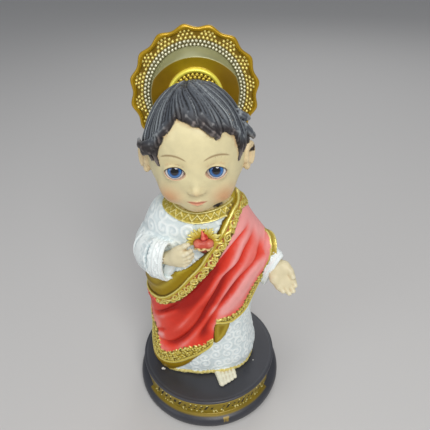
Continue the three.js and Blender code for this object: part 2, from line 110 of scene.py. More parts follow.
# ---------------------------------------------------------------- sizes shared with the CAD source
BASE_R, BASE_TOP_R, BASE_WAIST_R, BASE_H = 27.0, 25.0, 24.3, 12.1
BAND_Z, BAND_ARC = (5.5, 10.6), (-67.0, 61.0)
FOOT_Z = 12.4
BODY = np.array([
    [12.4, -19.4, 16.2, -12.8, 11.8, 2.5], [17, -20.6, 17.4, -13.2, 12.4, 2.5], [24, -20.0, 16.4, -13.0, 12.2, 2.4],
    [32, -18.8, 15.4, -12.5, 11.6, 2.3], [42, -18.6, 16.4, -12.2, 11.2, 2.2], [50, -19.2, 18.6, -12.1, 11.2, 2.1],
    [56, -21.4, 21.4, -12.0, 11.2, 2.0], [61, -22.6, 22.4, -11.9, 11.0, 2.0], [67, -20.6, 19.0, -11.5, 10.6, 2.0],
    [73, -17.4, 15.0, -10.8, 9.8, 2.0], [77, -15.4, 12.8, -9.4, 8.6, 2.0], [80, -12.9, 11.4, -7.9, 7.2, 2.0],
    [82.5, -9.0, 8.8, -6.4, 6.0, 2.0], [87, -5.2, 4.8, -5.8, 5.0, 2.0], [92, -5.0, 4.6, -5.6, 4.8, 2.0]])
HEAD = np.array([-1.1, -3.0, 98.2])
HEAD_R = np.array([13.5, 13.2, 17.0])
HAIR_T = 1.3
CROWN = (-1.5, 2.5)
EYE_R, EYE_X, EYE_Y, EYE_Z = 2.9, 5.3, -12.5, 96.4
HALO = dict(x=-1.33, y=13.0, z=107.9, tip=19.06, valley=17.3, points=16, roll=-3.7, tilt=2.7, yaw=3.6)
MANTLE_T = 1.1

SHAPE = BODY.copy()
for z_, left_ in ((61, -22.8), (67, -21.3), (73, -18.3), (77, -16.4), (80, -14.2), (82.5, -9.8)):
    SHAPE[np.argmin(np.abs(SHAPE[:, 0] - z_)), 1] = left_
section = [curve(SHAPE[:, [0, k]]) for k in range(1, 6)]
PIPING = curve([[-150, 55], [-120, 50], [-90, 47.4], [-75, 47.3], [-62, 47.7], [-53, 48.9], [-45, 51.1], [-35, 54.4], [-21, 59.2], [2, 65.4],
                [12, 68.4], [31, 73.4], [48, 77.4], [62, 80], [90, 82.2], [120, 81.2], [150, 74], [179, 64]], True)
MANTLE_TOP = curve([[-150, 66], [-120, 61], [-90, 58.6], [-60, 59.4], [-35, 60.6], [-20, 62.6], [-8, 64.8], [3, 66.4], [12, 68.8],
                    [31, 73.8], [48, 77.8], [62, 80.5], [90, 83.4], [120, 82.8], [150, 78.5], [179, 72]], True)
HEM = curve([[-180, 22.5], [-150, 21.5], [-130, 23.0], [-115, 27.0], [-102, 31.5], [-92, 33.0], [-84, 30.8], [-78, 26.5],
             [-72, 21.8], [-66, 19.0], [-60, 18.1], [-52, 17.7], [-40, 18.4], [-29, 19.9], [-15, 22.4], [1, 25.1], [9, 26.6],
             [14, 27.7], [16, 28.6], [16.9, 30.6], [17.4, 33.5], [17.9, 36.3], [19, 37.8], [22, 38.1], [30, 37.7], [40, 37.5],
             [47, 38.4], [56, 39.9], [63, 42.2], [68, 46.4], [72, 51.0], [76, 54.2], [84, 54.4], [96, 52.6], [112, 44],
             [135, 34], [160, 27], [179.9, 22.5]], True)
UNDER = curve([[-180, 21.5], [-140, 21.0], [-120, 22.0], [-105, 26.0], [-95, 28.5], [-86, 24.0], [-78, 16.0], [-72, 12.6],
               [-62, 12.3], [-56, 12.4], [-47, 13.4], [-36, 15.5], [-26, 17.7], [-14, 21.1], [-2, 24.2], [8, 26.4], [16, 28.5],
               [18, 36.0], [40, 36.6], [68, 45.4], [96, 51.6], [135, 33], [160, 26], [179.9, 21.5]], True)
HAIRLINE = curve([[-150, 88], [-110, 92], [-84, 97.5], [-70, 101.2], [-62, 101.6], [-48, 102.0], [-40, 104.4],
                  [-30, 107.9], [-23, 110.4], [-14, 109.9], [0, 109.2], [12, 109.3], [22, 107.6], [30, 107.0],
                  [46, 106.0], [52, 103.6], [56, 101.5], [64, 101.0], [76, 100.6], [90, 99.0], [110, 92], [150, 88],
                  [179, 87]], True)

# the mantle's folds, each a line round the body: kind, width above, width below, depth, then (angle, height) points
FOLDS = [
    ("ridge", 1.0, 1.1, 0.30, [(83, 77.1), (64, 74.4), (48, 71.5), (37, 68.9), (29, 66.9), (16, 62.2)]),
    ("valley", 0.7, 1.5, 1.15, [(78, 74.6), (68, 73.1), (57, 71.6), (46, 69.6), (36, 67), (24, 64), (6, 58.3), (-12, 53.4),
                                (-24, 50.0), (-36, 46.9)]),
    ("ridge", 1.5, 1.2, 0.45, [(85, 75.1), (69, 72.3), (56, 69.6), (46, 65.9), (33, 61.5), (18, 58), (6, 53.1), (-6, 48.2),
                               (-19, 42.6), (-33, 36.6), (-46, 33.0)]),
    ("valley", 0.8, 1.7, 1.55, [(85, 73.1), (70, 70.4), (58, 67.2), (47, 63.2), (30, 59.1), (18, 52.8), (7, 46.1), (-4, 39.7),
                                (-19, 34), (-33, 30), (-45, 27.6), (-57, 27.3), (-66, 29)]),
    ("ridge", 1.1, 1.1, 0.45, [(72, 69.4), (61, 66.4), (46, 60.6), (35, 56.0), (24, 49.9), (12, 43.2), (-4, 36.6), (-20, 31.2),
                               (-36, 26.6), (-48, 25.0)]),
    ("valley", 0.9, 1.5, 1.25, [(81, 69.7), (72, 66.6), (63, 62.6), (53, 58.9), (42, 55.2), (33, 51.0), (23, 45.2), (11, 39.1),
                                (1, 33.7), (-11, 29.6)]),
    ("ridge", 1.7, 1.7, 0.35, [(73, 63.1), (61, 59.2), (53, 55), (46, 50.6), (34, 46.5), (24, 42.7), (15, 37.1), (7, 32.8)]),
    ("valley", 0.45, 0.7, 0.95, [(-26, 49.4), (-33, 47.7), (-40, 45.8), (-51, 42.7), (-64, 39.7), (-78, 37.6)]),
    ("ridge", 0.9, 1.1, 0.30, [(-30, 46.0), (-40, 43.6), (-51, 40.9), (-64, 38.0)]),
    ("valley", 0.55, 0.7, 0.80, [(-72, 30.4), (-64, 30.9), (-58, 32.2), (-53, 33.6)]),
    ("ridge", 0.7, 0.8, 0.30, [(-68, 29.2), (-58, 30.4), (-51, 31.6)]),
    # plainer folds on the back
    ("valley", 1.4, 1.8, 0.95, [(96, 70), (120, 62), (150, 52), (180, 43), (210, 37), (235, 34.5)]),
    ("ridge", 1.6, 1.6, 0.30, [(98, 75), (125, 67), (155, 58), (185, 49.5), (215, 43)]),
    ("valley", 1.3, 1.7, 0.90, [(96, 77), (125, 71), (155, 62.5), (185, 54), (215, 47.5), (238, 44)]),
    ("valley", 1.5, 1.7, 0.95, [(108, 58), (130, 48), (155, 40), (180, 34), (205, 30)]),
]

# ---------------------------------------------------------------- map of the dressed body: angle from the front by height
DTH, DZ, Z0 = 0.4, 0.15, 11.0
NTH, NZ = 900, 540
TH = -180.0 + DTH * np.arange(NTH)
ZZ = Z0 + DZ * np.arange(NZ)
SEC = np.array([s(ZZ) for s in section])
CX, CY = (SEC[0] + SEC[1]) / 2, (SEC[2] + SEC[3]) / 2
A_, B_, N_ = (SEC[1] - SEC[0]) / 2, (SEC[3] - SEC[2]) / 2, SEC[4]
T2, Z2 = np.meshgrid(TH, ZZ, indexing="ij")


def outline(th, a, b, n):
    s = np.abs(np.sin(np.radians(th))) / a
    c = np.abs(np.cos(np.radians(th))) / b
    return (s ** n + c ** n) ** (-1 / n)


R0 = outline(T2, A_, B_, N_)
low = 1 - ease(18, 46, Z2)
R0 = R0 + low * (0.16 + 0.30 * ease(60, 110, np.abs(T2))) * np.cos(np.radians(T2 * 7 + 30))
# slight gather of the sleeve's cloth at the elbow and shoulder on the left
R0 = R0 - 0.35 * bell(Z2 - 66 - 0.05 * (T2 + 70), 1.6) * bell(T2 + 78, 24) - 0.28 * bell(Z2 - 71.5, 1.3) * bell(T2 + 66, 18)
dR = (np.roll(R0, -1, 0) - np.roll(R0, 1, 0)) / (2 * np.radians(DTH))
step = np.sqrt(R0 ** 2 + dR ** 2) * np.radians(DTH)
S2 = np.cumsum(step, axis=0) - step
zero = int(round(180 / DTH))
S2 = S2 - S2[zero]
PERIM = step.sum(0)


def to_index(th, z):
    return (np.asarray(th) + 180.0) / DTH, np.clip((np.asarray(z) - Z0) / DZ, 0, NZ - 1.001)


def sample(M, th, z):
    """Bilinear value of a map."""
    fi, fj = to_index(th, z)
    i = np.floor(fi).astype(np.int32)
    j = fj.astype(np.int32)
    u = (fi - i).astype(np.float32)
    v = (fj - j).astype(np.float32)
    i0 = i % NTH
    i1 = (i + 1) % NTH
    return ((M[i0, j] * (1 - u) + M[i1, j] * u) * (1 - v) + (M[i0, j + 1] * (1 - u) + M[i1, j + 1] * u) * v)


def arc_at(th, z):
    """Length round the body from the front, beyond half a turn too."""
    th = np.asarray(th, float)
    turns = np.floor((th + 180.0) / 360.0)
    j = np.clip((np.asarray(z) - Z0) / DZ, 0, NZ - 1.001).astype(int)
    i = ((th - 360 * turns + 180.0) / DTH)
    i0 = np.clip(np.floor(i).astype(int), 0, NTH - 1)
    f = i - i0
    i1 = np.minimum(i0 + 1, NTH - 1)
    return S2[i0, j] * (1 - f) + S2[i1, j] * f + turns * PERIM[j]


def along(points, reach=9.0, every=0.45):
    """Signed distance (positive below the line when it runs towards larger angles) and length along a line on the body."""
    pts = np.array(points, float)
    if pts[0, 0] > pts[-1, 0]:
        pts = pts[::-1]
    f = curve(pts)
    th = np.linspace(pts[0, 0], pts[-1, 0], max(12, int(abs(pts[-1, 0] - pts[0, 0]) * 1.2)))
    z = f(th)
    P = np.stack([arc_at(th, z), z], -1)
    seg = np.hypot(*np.diff(P, axis=0).T)
    total = np.concatenate([[0], np.cumsum(seg)])
    n = max(8, int(total[-1] / every))
    at = np.linspace(0, total[-1], n)
    P = np.stack([np.interp(at, total, P[:, 0]), np.interp(at, total, P[:, 1])], -1)
    tq = np.interp(at, total, th)
    D = np.full(T2.shape, 99.0, np.float32)
    U = np.zeros(T2.shape, np.float32)
    Q = np.zeros(T2.shape, np.float32)
    for k in range(n - 1):
        a, b = P[k], P[k + 1]
        mid_t, mid_z = (tq[k] + tq[k + 1]) / 2, (a[1] + b[1]) / 2
        half = reach / 9.0 * 57.3
        i = np.arange(int(math.floor((mid_t - half + 180) / DTH)), int(math.ceil((mid_t + half + 180) / DTH)))
        j0 = max(0, int((mid_z - reach - Z0) / DZ))
        j1 = min(NZ, int((mid_z + reach - Z0) / DZ) + 1)
        if j1 <= j0:
            continue
        turns = np.floor(i / NTH)
        ii = (i % NTH).astype(int)
        S = S2[ii, j0:j1] + turns[:, None] * PERIM[None, j0:j1]
        dx, dz = S - a[0], ZZ[None, j0:j1] - a[1]
        ab = b - a
        L = float(np.hypot(*ab))
        t = np.clip((dx * ab[0] + dz * ab[1]) / (L * L), 0, 1)
        ex, ez = dx - t * ab[0], dz - t * ab[1]
        d = np.hypot(ex, ez)
        side = np.sign(dx * ab[1] - dz * ab[0])
        old = D[ii, j0:j1]
        near = d < np.abs(old)
        D[ii[:, None], np.arange(j0, j1)[None, :]] = np.where(near, side * d, old)
        Uo = U[ii, j0:j1]
        U[ii[:, None], np.arange(j0, j1)[None, :]] = np.where(near, at[k] + t * L, Uo)
        Qo = Q[ii, j0:j1]
        Q[ii[:, None], np.arange(j0, j1)[None, :]] = np.where(near, tq[k] + t * (tq[k + 1] - tq[k]), Qo)
    along.angle = Q
    return D, U, total[-1]


def cells(u, v, size, seed, fn, jitter=0.5):
    """Greatest value of fn(dx, dy, chance) over the near cells of a jittered grid."""
    best = np.zeros(np.broadcast(u, v).shape, np.float32)
    iu, iv = np.floor(u / size), np.floor(v / size)
    for a in (-1, 0, 1):
        for b in (-1, 0, 1):
            i, j = iu + a, iv + b
            h1, h2, h3 = hashed(i, j, seed), hashed(i, j, seed + 1), hashed(i, j, seed + 2)
            dx = u - (i + 0.5 + (h1 - 0.5) * jitter) * size
            dy = v - (j + 0.5 + (h2 - 0.5) * jitter) * size
            best = np.maximum(best, fn(dx, dy, h3))
    return best


def dome(rho, r):
    return np.sqrt(np.clip(1 - (rho / r) ** 2, 0, 1))


def swirl(dx, dy, h, size):
    """One embossed scroll."""
    rho = np.hypot(dx, dy)
    hand = np.where(h > 0.5, 1.0, -1.0)
    phi = np.arctan2(dy, dx) * hand + h * 12.0
    pitch = size * 0.36
    ridge = 0.5 + 0.5 * np.cos(2 * np.pi * rho / pitch - phi)
    return ridge ** 2.0 * (1 - ease(size * 0.40, size * 0.62, rho))


thp = np.arange(-200, 201, 2.0)
D_PIPE, U_PIPE, _ = along([(t, float(PIPING(wrap(t)))) for t in thp], 9)
thh = np.concatenate([np.arange(-200, 14, 2.0), np.arange(14, 24, 0.25), np.arange(24, 201, 2.0)])
D_HEM, U_HEM, _ = along([(t, float(HEM(wrap(t)))) for t in thh], 9)
Q_HEM = wrap(along.angle)
below_pipe = Z2 < PIPING(T2)
above_hem = Z2 > HEM(T2)
DP = np.where(np.abs(D_PIPE) > 90, np.where(below_pipe, 20.0, -20.0), np.abs(D_PIPE) * np.where(below_pipe, 1, -1))
DH = np.where(np.abs(D_HEM) > 90, np.where(above_hem, 20.0, -20.0), np.abs(D_HEM) * np.where(above_hem, 1, -1))

# the trims follow the two hems on either side of the short upright edge
thl, thr = np.arange(-116, 18.1, 2.0), np.arange(18.0, 118.1, 2.0)
D_LOW, U_LOW, _ = along([(t, float(HEM(t)) if t < 15 else 28.1 + 0.25 * (t - 15)) for t in thl], 7)
D_UP, U_UP, _ = along([(t, float(HEM(t)) if t > 21.5 else 38.05) for t in thr], 7)
D_TRIM = np.where(T2 < 18.4, np.abs(D_LOW), np.abs(D_UP))
U_TRIM = np.where(T2 < 18.4, U_LOW, U_UP)
D_TRIM = np.where(np.abs(T2) > 111, np.abs(DH), np.where(D_TRIM > 90, 20.0, D_TRIM)) * np.where(above_hem, 1, -1)
U_TRIM = np.where(np.abs(T2) > 111, U_HEM, U_TRIM)

# folds: depth, and the painted shade in their valleys and painted highlight on their ridges that go with them
depth = np.zeros(T2.shape)
tone = np.zeros(T2.shape)
for number, (kind, up_w, low_w, deep, pts) in enumerate(FOLDS):
    D, U, total = along(pts, 7.5)
    f = np.clip(U / total, 0, 1)
    if pts[0][0] > pts[-1][0]:
        f = 1 - f                                       # 0 where the line starts in the list
    grow = mix(0.62, 1.30, ease(0.0, 0.75, f)) if total > 22 else 1.0
    D = np.where(np.abs(D) > 90, 30.0, D)
    w = np.where(D < 0, up_w, low_w) * grow
    ends = ease(0.0, 0.16, f) * (1 - 0.85 * ease(0.86, 1.0, f)) if total > 22 else ease(0, 0.3, f) * (1 - ease(0.75, 1, f) * 0.6)
    amount = ends * mix(0.55, 1.0, ease(0.05, 0.5, f))
    g = bell(D, w) * amount
    depth += (deep if kind == "valley" else -deep) * g
    # a valley adds painted shade to the red, a ridge adds painted highlight
    if kind == "valley":
        tone -= min(1.1, 0.25 + deep / 1.6) * bell(D, np.where(D < 0, 1.0, 1.9) * mix(0.8, 1.15, f)) * amount
    else:
        tone += (1.15 if number == 6 else 0.80) * bell(D, np.where(D < 0, 0.85, 0.95) * (2.0 if number == 6 else 1.0)) * amount

cloth = np.clip(np.minimum(DP, DH), -2, 60)
in_mantle = (DP > 0) & (DH > 0)
PIPE_W, TRIM_LO = 1.05, 1.05
TRIM_HI = mix(3.05, 3.60, ease(-48, -30, T2))
HEM_BORDER = 1.35
HEM_TRIM = np.where(T2 < 18.4, mix(4.4 + 1.2 * ease(-8, -32, T2) * ease(-78, -66, T2), 2.75, ease(-14.0, 6.0, T2)), mix(2.3, 3.5, ease(20, 32, T2)))
HEM_TRIM = HEM_TRIM + 0.26 * np.sin(U_TRIM * 3.6) + 0.14 * np.sin(U_TRIM * 5.9 + 1)
# the short upright edge of the cloth beside the folded-back corner has no trim
PLAIN = ease(15.9, 16.3, T2) * (1 - ease(19.0, 19.5, T2)) * ease(30.2, 30.8, Z2)

# ornament of the upper trim: scrolls with a bead inside, and flowers between them
pitch = 3.15
uu = U_PIPE / pitch + 0.16 * np.sin(U_PIPE * 0.61) + 0.10 * np.sin(U_PIPE * 1.37 + 1)
iu = np.floor(uu)
uc = (uu - iu - 0.5) * pitch
vc = (DP - (TRIM_LO + TRIM_HI) / 2 - 0.16 * np.sin(U_PIPE * 0.83)) * (1.05 + 0.22 * np.sin(U_PIPE * 0.47))
hand = np.where(np.mod(iu, 2) > 0.5, 1.0, -1.0)
rho = np.hypot(uc, vc)
phi = np.arctan2(vc * hand, uc)
spiral = np.full(T2.shape, 9.0)
for turn in (0, 1):
    arm = 0.42 + 0.105 * (phi + np.pi + 2 * np.pi * turn)
    spiral = np.minimum(spiral, np.abs(rho - arm) + 3 * (arm > 1.42))
orn = dome(spiral, 0.27)
orn = np.maximum(orn, dome(rho, 0.36))
ue = np.where(uc > 0, uc - pitch / 2, uc + pitch / 2)
orn = np.maximum(orn, 0.95 * dome(np.hypot(ue, vc), 0.36))
for k in range(5):
    a = 2 * np.pi * k / 5 + 0.3
    orn = np.maximum(orn, 0.85 * dome(np.hypot(ue - 0.62 * np.cos(a), vc - 0.62 * np.sin(a)), 0.30))
orn = np.maximum(orn, 0.8 * dome(np.hypot(ue, np.abs(vc) - 1.30), 0.32))
ORN_TRIM = orn * ((DP > TRIM_LO) & (DP < TRIM_HI))


# ornament of the hems: dense flowers and beads
def petals(dx, dy, h):
    r_ = np.hypot(dx, dy)
    a_ = np.arctan2(dy, dx) + h * 6.28
    flower = 0.75 * dome(np.abs(r_ - 0.52), 0.30) * (0.55 + 0.45 * np.cos(5 * a_))
    return np.maximum(dome(r_, 0.34), flower)


grain = cells(U_TRIM, D_TRIM, 1.75, 3, petals, 0.35)
grain = np.maximum(0.75 * grain, cells(U_TRIM + 0.4, D_TRIM + 0.3, 0.92, 9, lambda x, y, h: dome(np.hypot(x, y), 0.30 + 0.16 * h) * (0.6 + 0.4 * h), 0.5))
ORN_HEM = grain * ((D_TRIM > HEM_BORDER) & (D_TRIM < HEM_TRIM)) * (1 - PLAIN)

# embossed scrolls of the robe
sleeve_area = ease(54, 60, Z2)
big = cells(S2 * 1.0, Z2, 4.5, 21, lambda x, y, h: swirl(x, y, h, 4.5), 0.35)
small = cells(S2 + 1.3, Z2 * 1.0, 4.0, 5, lambda x, y, h: swirl(x, y, h, 4.0), 0.35)
EMBOSS = mix(small, big, sleeve_area) * (1 - ease(104, 122, np.abs(T2)))

# collar: a flat gold band with a zigzag between two borders
lift = 1 - np.cos(np.radians(np.minimum(np.abs(T2), 82)))
COL_LO = 76.95 + np.where(T2 < 0, 5.5, 2.9) * lift + 0.9 * ease(60, 110, T2)
COL_HI = 80.15 + np.where(T2 < 0, 3.8, 2.6) * lift + 0.4 * ease(60, 110, T2)
in_collar = (Z2 > COL_LO) & (Z2 < COL_HI)
cv = (Z2 - COL_LO) / (COL_HI - COL_LO)
RC = sample(R0, T2, np.full(T2.shape, 79.0))
cu = np.radians(T2) * RC
zz = np.abs(np.mod(cu / 2.5, 1.0) - 0.5) * 2
zig = dome((cv - mix(0.24, 0.76, zz)) * 2.4, 0.24)
dots = np.maximum(dome(np.hypot(np.mod(cu / 2.5 + 0.5, 1.0) * 2.5 - 1.25, (cv - 0.36) * 3.0), 0.26),
                  dome(np.hypot(np.mod(cu / 2.5, 1.0) * 2.5 - 1.25, (cv - 0.62) * 3.0), 0.26))
borders = np.maximum(dome(cv - 0.08, 0.085), dome(cv - 0.92, 0.085))
ORN_COLLAR = np.maximum(np.maximum(zig, 0.7 * dots), borders) * in_collar

# folded-back corner of the mantle's lining, where the hem steps up
corner = np.full(T2.shape, -9.0)
cs = arc_at(T2, Z2)
poly = [(15.6, 34.3), (16.4, 37.8), (20.1, 39.0), (31, 38.6), (41.8, 38.2), (39.8, 35), (34.8, 31.7), (27.2, 29.3), (20.4, 28.3), (16.6, 29.4)]
px = np.array([[float(arc_at(t, z)), z] for t, z in poly])
edge_d = np.full(T2.shape, 99.0)
inside = np.zeros(T2.shape, bool)
for k in range(len(px)):
    a, b = px[k], px[(k + 1) % len(px)]
    ab = b - a
    t = np.clip(((cs - a[0]) * ab[0] + (Z2 - a[1]) * ab[1]) / (ab @ ab), 0, 1)
    edge_d = np.minimum(edge_d, np.hypot(cs - a[0] - t * ab[0], Z2 - a[1] - t * ab[1]))
    cross = ((a[1] > Z2) != (b[1] > Z2)) & (cs < (b[0] - a[0]) * (Z2 - a[1]) / (b[1] - a[1] + 1e-9) + a[0])
    inside ^= cross
CORNER = np.where(inside, edge_d, -edge_d)

# the height map: how far each place stands off the robe
off = np.zeros(T2.shape)
off += 0.25 * EMBOSS * (~in_collar) * (Z2 < 82) * (1 - ease(79.5, 81, Z2))
hem_gold = 13.95 + 0.12 * np.cos(np.radians(T2 * 3 + 20)) + 0.25 * ease(60, 110, np.abs(T2)) + 0.85 * bell(T2 - 29, 13)
off += 0.55 * dome(Z2 - (hem_gold - 0.80), 0.80) * (Z2 < 17) + 0.5 * bell(T2 - 29, 13) * (1 - ease(14, 18, Z2))
off = np.where(in_collar, 0.42 + 0.36 * ORN_COLLAR + 0.12 * (cv > 0.9), off)
# far side of the left sleeve's mouth, lying against the lining under the hand
FLAP_POLY = [(-46.0, 65.5), (-33.6, 65.5), (-35.6, 63.4), (-41.0, 60.2), (-46.6, 56.9), (-50.5, 57.0), (-51.0, 61.0)]
flap_in, flap_d = np.ones(T2.shape, bool), np.full(T2.shape, 99.0)
for (ta, za), (tb, zb) in zip(FLAP_POLY, FLAP_POLY[1:] + FLAP_POLY[:1]):
    side_ = (tb - ta) * 0.31 * (Z2 - za) - (zb - za) * (T2 - ta) * 0.31
    flap_in &= side_ < 0
    len2 = ((tb - ta) * 0.31) ** 2 + (zb - za) ** 2
    tt_ = np.clip((((T2 - ta) * 0.31) * (tb - ta) * 0.31 + (Z2 - za) * (zb - za)) / len2, 0, 1)
    flap_d = np.minimum(flap_d, np.hypot((T2 - ta - tt_ * (tb - ta)) * 0.31, Z2 - za - tt_ * (zb - za)))
FLAP = np.where(flap_in, flap_d, -flap_d)
# small seam under the collar
off -= 0.3 * bell(T2 + 1.2, 1.2) * ease(73.2, 74.2, Z2) * (1 - ease(76.6, 77.2, Z2))
# lining above the piping
lining = (DP <= 0) & (Z2 < MANTLE_TOP(T2)) & (Z2 > PIPING(T2) - 0.5)
top_gap = MANTLE_TOP(T2) - Z2
lin_h = 0.95 * np.sqrt(np.clip(1 - (1 - np.clip(top_gap / 0.8, 0, 1)) ** 2, 0, 1)) - 0.35 * bell(DP + 2.2, 1.0)
lin_h = lin_h + 0.16 * np.cos(DP * 2.1 + np.radians(T2) * 2) + 0.35 * bell(DP + 3.4 - 0.02 * T2, 0.8) * ease(-40, -18, T2) * ease(12, 0, T2)
off = np.where(lining, np.maximum(lin_h, off), off)
# folded-back corner, rolled
roll = 0.95 * np.sqrt(np.clip(1 - (1 - np.clip(CORNER / 1.2, 0, 1)) ** 2, 0, 1)) - 0.25 * bell(CORNER - 2.4, 1.0)
off = np.where((CORNER > 0) & (DH < 0.2), np.maximum(roll, off), off)
# the mantle's cloth
HEM_Z, UNDER_Z = HEM(T2), UNDER(T2)
fall = np.clip((HEM_Z - Z2) / np.maximum(HEM_Z - UNDER_Z, 0.3), 0, 1)
UNDERSIDE = (Z2 <= HEM_Z + 0.1) & (Z2 > UNDER_Z) & (HEM_Z - UNDER_Z > 0.3) & (T2 < 16.4) & (DH <= 0.15)
under = MANTLE_T * 0.98 * np.sqrt(np.clip(1 - fall ** 2.2, 0, 1)) + 0.12 * np.sin(np.radians(T2 * 9)) * fall * (1 - fall)
off = np.where(UNDERSIDE & (CORNER < 0), np.maximum(under, off), off)
fold_cut = np.maximum(ease(0, 1, (D_TRIM - 0.6 * HEM_TRIM) / (0.65 * HEM_TRIM)), PLAIN) * ease(0, 1, (DP - TRIM_HI + 1.3) / 2.5)
cloth_h = MANTLE_T - depth * mix(0.22, 1.0, fold_cut)
cloth_h = np.where(D_TRIM < HEM_TRIM, cloth_h + (1 - PLAIN) * (0.16 * (D_TRIM >= HEM_BORDER) + 0.48 * ORN_HEM + 0.36 * (D_TRIM < HEM_BORDER)
                   * np.abs(np.sin(np.clip(D_TRIM, 0, HEM_BORDER) / HEM_BORDER * np.pi))), cloth_h) + 0.15 * PLAIN * bell(DH - 0.5, 0.5)
cloth_h = cloth_h * np.sqrt(np.clip(1 - (1 - np.clip((DH + 0.15) / 0.55, 0, 1)) ** 2, 0.3, 1))
cloth_h = np.where((DP < TRIM_HI) & (DH > 1.0), cloth_h + 0.14 + 0.50 * ORN_TRIM, cloth_h)
pipes = np.maximum(dome(DP - 0.28, 0.36), 0.8 * dome(DP - 0.86, 0.26))
cloth_h = np.where((DP < PIPE_W) & (DH > 1.0), MANTLE_T - 0.2 * depth + 0.10 + 0.45 * pipes, cloth_h)
off = np.where(in_mantle, cloth_h, off)
off = np.where(FLAP > 0, np.maximum(off, 1.45 * np.sqrt(np.clip(1 - (1 - np.clip(FLAP / 0.9, 0, 1)) ** 2, 0, 1)) + 0.2), off)
off = off - 1.7 * bell(T2 + 86, 22) * ease(50, 56, Z2) * ease(67, 62, Z2)
RMAP = (R0 + off).astype(np.float32)
gr_t = (np.roll(RMAP, -2, 0) - np.roll(RMAP, 2, 0)) / (4 * np.radians(DTH)) / RMAP
gr_z = np.gradient(R0, DZ, axis=1)
GMAP = (1 / np.sqrt(1 + np.clip(gr_t, -1.2, 1.2) ** 2 + gr_z ** 2)).astype(np.float32)
CXC, CYC = curve(np.stack([ZZ[::8], CX[::8]], -1)), curve(np.stack([ZZ[::8], CY[::8]], -1))


def body_coords(x, y, z):
    jz = np.clip((z - Z0) / DZ, 0, NZ - 1.001)
    cx = np.interp(jz, np.arange(NZ), CX)
    cy = np.interp(jz, np.arange(NZ), CY)
    dx, dy = x - cx, y - cy
    return np.degrees(np.arctan2(dx, -dy)), np.hypot(dx, dy)


def f_body(x, y, z):
    th, r = body_coords(x, y, z)
    z = np.broadcast_to(z, th.shape)
    d = (r - sample(RMAP, th, z)) * sample(GMAP, th, z)
    return np.maximum(d, z - 88.0)


# ---------------------------------------------------------------- distance functions of simple shapes
def f_ball(c, r, squash=None, rot=None):
    c = np.array(c, float)

    def f(x, y, z):
        dx, dy, dz = x - c[0], y - c[1], z - c[2]
        if rot is not None:
            dx, dy, dz = (rot[0, 0] * dx + rot[1, 0] * dy + rot[2, 0] * dz,
                          rot[0, 1] * dx + rot[1, 1] * dy + rot[2, 1] * dz,
                          rot[0, 2] * dx + rot[1, 2] * dy + rot[2, 2] * dz)
        if squash is None:
            return np.sqrt(dx * dx + dy * dy + dz * dz) - r
        a, b, e = squash
        k = np.sqrt((dx / a) ** 2 + (dy / b) ** 2 + (dz / e) ** 2) + 1e-6
        g = np.sqrt((dx / a ** 2) ** 2 + (dy / b ** 2) ** 2 + (dz / e ** 2) ** 2) / k + 1e-6
        return (k - 1) / g
    return f


def f_chain(points, k=0.25):
    """Rounded bar through (x, y, z, radius) points."""
    P = np.array(points, float)

    def f(x, y, z):
        best = None
        for a, b in zip(P[:-1], P[1:]):
            ab = b[:3] - a[:3]
            t = np.clip(((x - a[0]) * ab[0] + (y - a[1]) * ab[1] + (z - a[2]) * ab[2]) / (ab @ ab + 1e-9), 0, 1)
            d = np.sqrt((x - a[0] - t * ab[0]) ** 2 + (y - a[1] - t * ab[1]) ** 2 + (z - a[2] - t * ab[2]) ** 2)
            d = d - (a[3] + (b[3] - a[3]) * t)
            best = d if best is None else smin(best, d, k)
        return best
    return f


def f_oval(rings, k=0.6):
    """Sleeve through ovals [centre, direction, long half, short half], flat at its far end."""
    R = []
    for c, d, la, lb in rings:
        t = np.array(d, float) / np.linalg.norm(d)
        u = np.array([0, 0, 1.0]) - t * t[2]
        u /= np.linalg.norm(u)
        R.append((np.array(c, float), t, u, np.cross(t, u), la, lb))

    def f(x, y, z):
        best = None
        for (c0, t0, u0, v0, a0, b0), (c1, t1, u1, v1, a1, b1) in zip(R[:-1], R[1:]):
            ab = c1 - c0
            L = np.linalg.norm(ab)
            T = (t0 + t1)
            T /= np.linalg.norm(T)
            px, py, pz = x - c0[0], y - c0[1], z - c0[2]
            s = (px * T[0] + py * T[1] + pz * T[2]) / (ab @ T)
            t = np.clip(s, 0, 1)
            w = (s - t) * (ab @ T)
            u = u0 + u1
            u /= np.linalg.norm(u)
            v = np.cross(T, u)
            qx, qy, qz = px - t * ab[0], py - t * ab[1], pz - t * ab[2]
            a = qx * u[0] + qy * u[1] + qz * u[2]
            b = qx * v[0] + qy * v[1] + qz * v[2]
            la, lb = a0 + (a1 - a0) * t, b0 + (b1 - b0) * t
            kk = np.sqrt((a / la) ** 2 + (b / lb) ** 2) + 1e-6
            g = np.sqrt((a / la ** 2) ** 2 + (b / lb ** 2) ** 2) / kk + 1e-6
            d = (kk - 1) / g
            d = np.where(np.abs(w) < 1e-9, d, np.maximum(d, 0) * 0 + np.sqrt(np.maximum(d, 0) ** 2 + w ** 2))
            best = d if best is None else smin(best, d, k)
        return best
    return f


def blend_of(parts, k):
    def f(x, y, z):
        best = None
        for p in parts:
            d = p(x, y, z)
            best = d if best is None else smin(best, d, k)
        return best
    return f


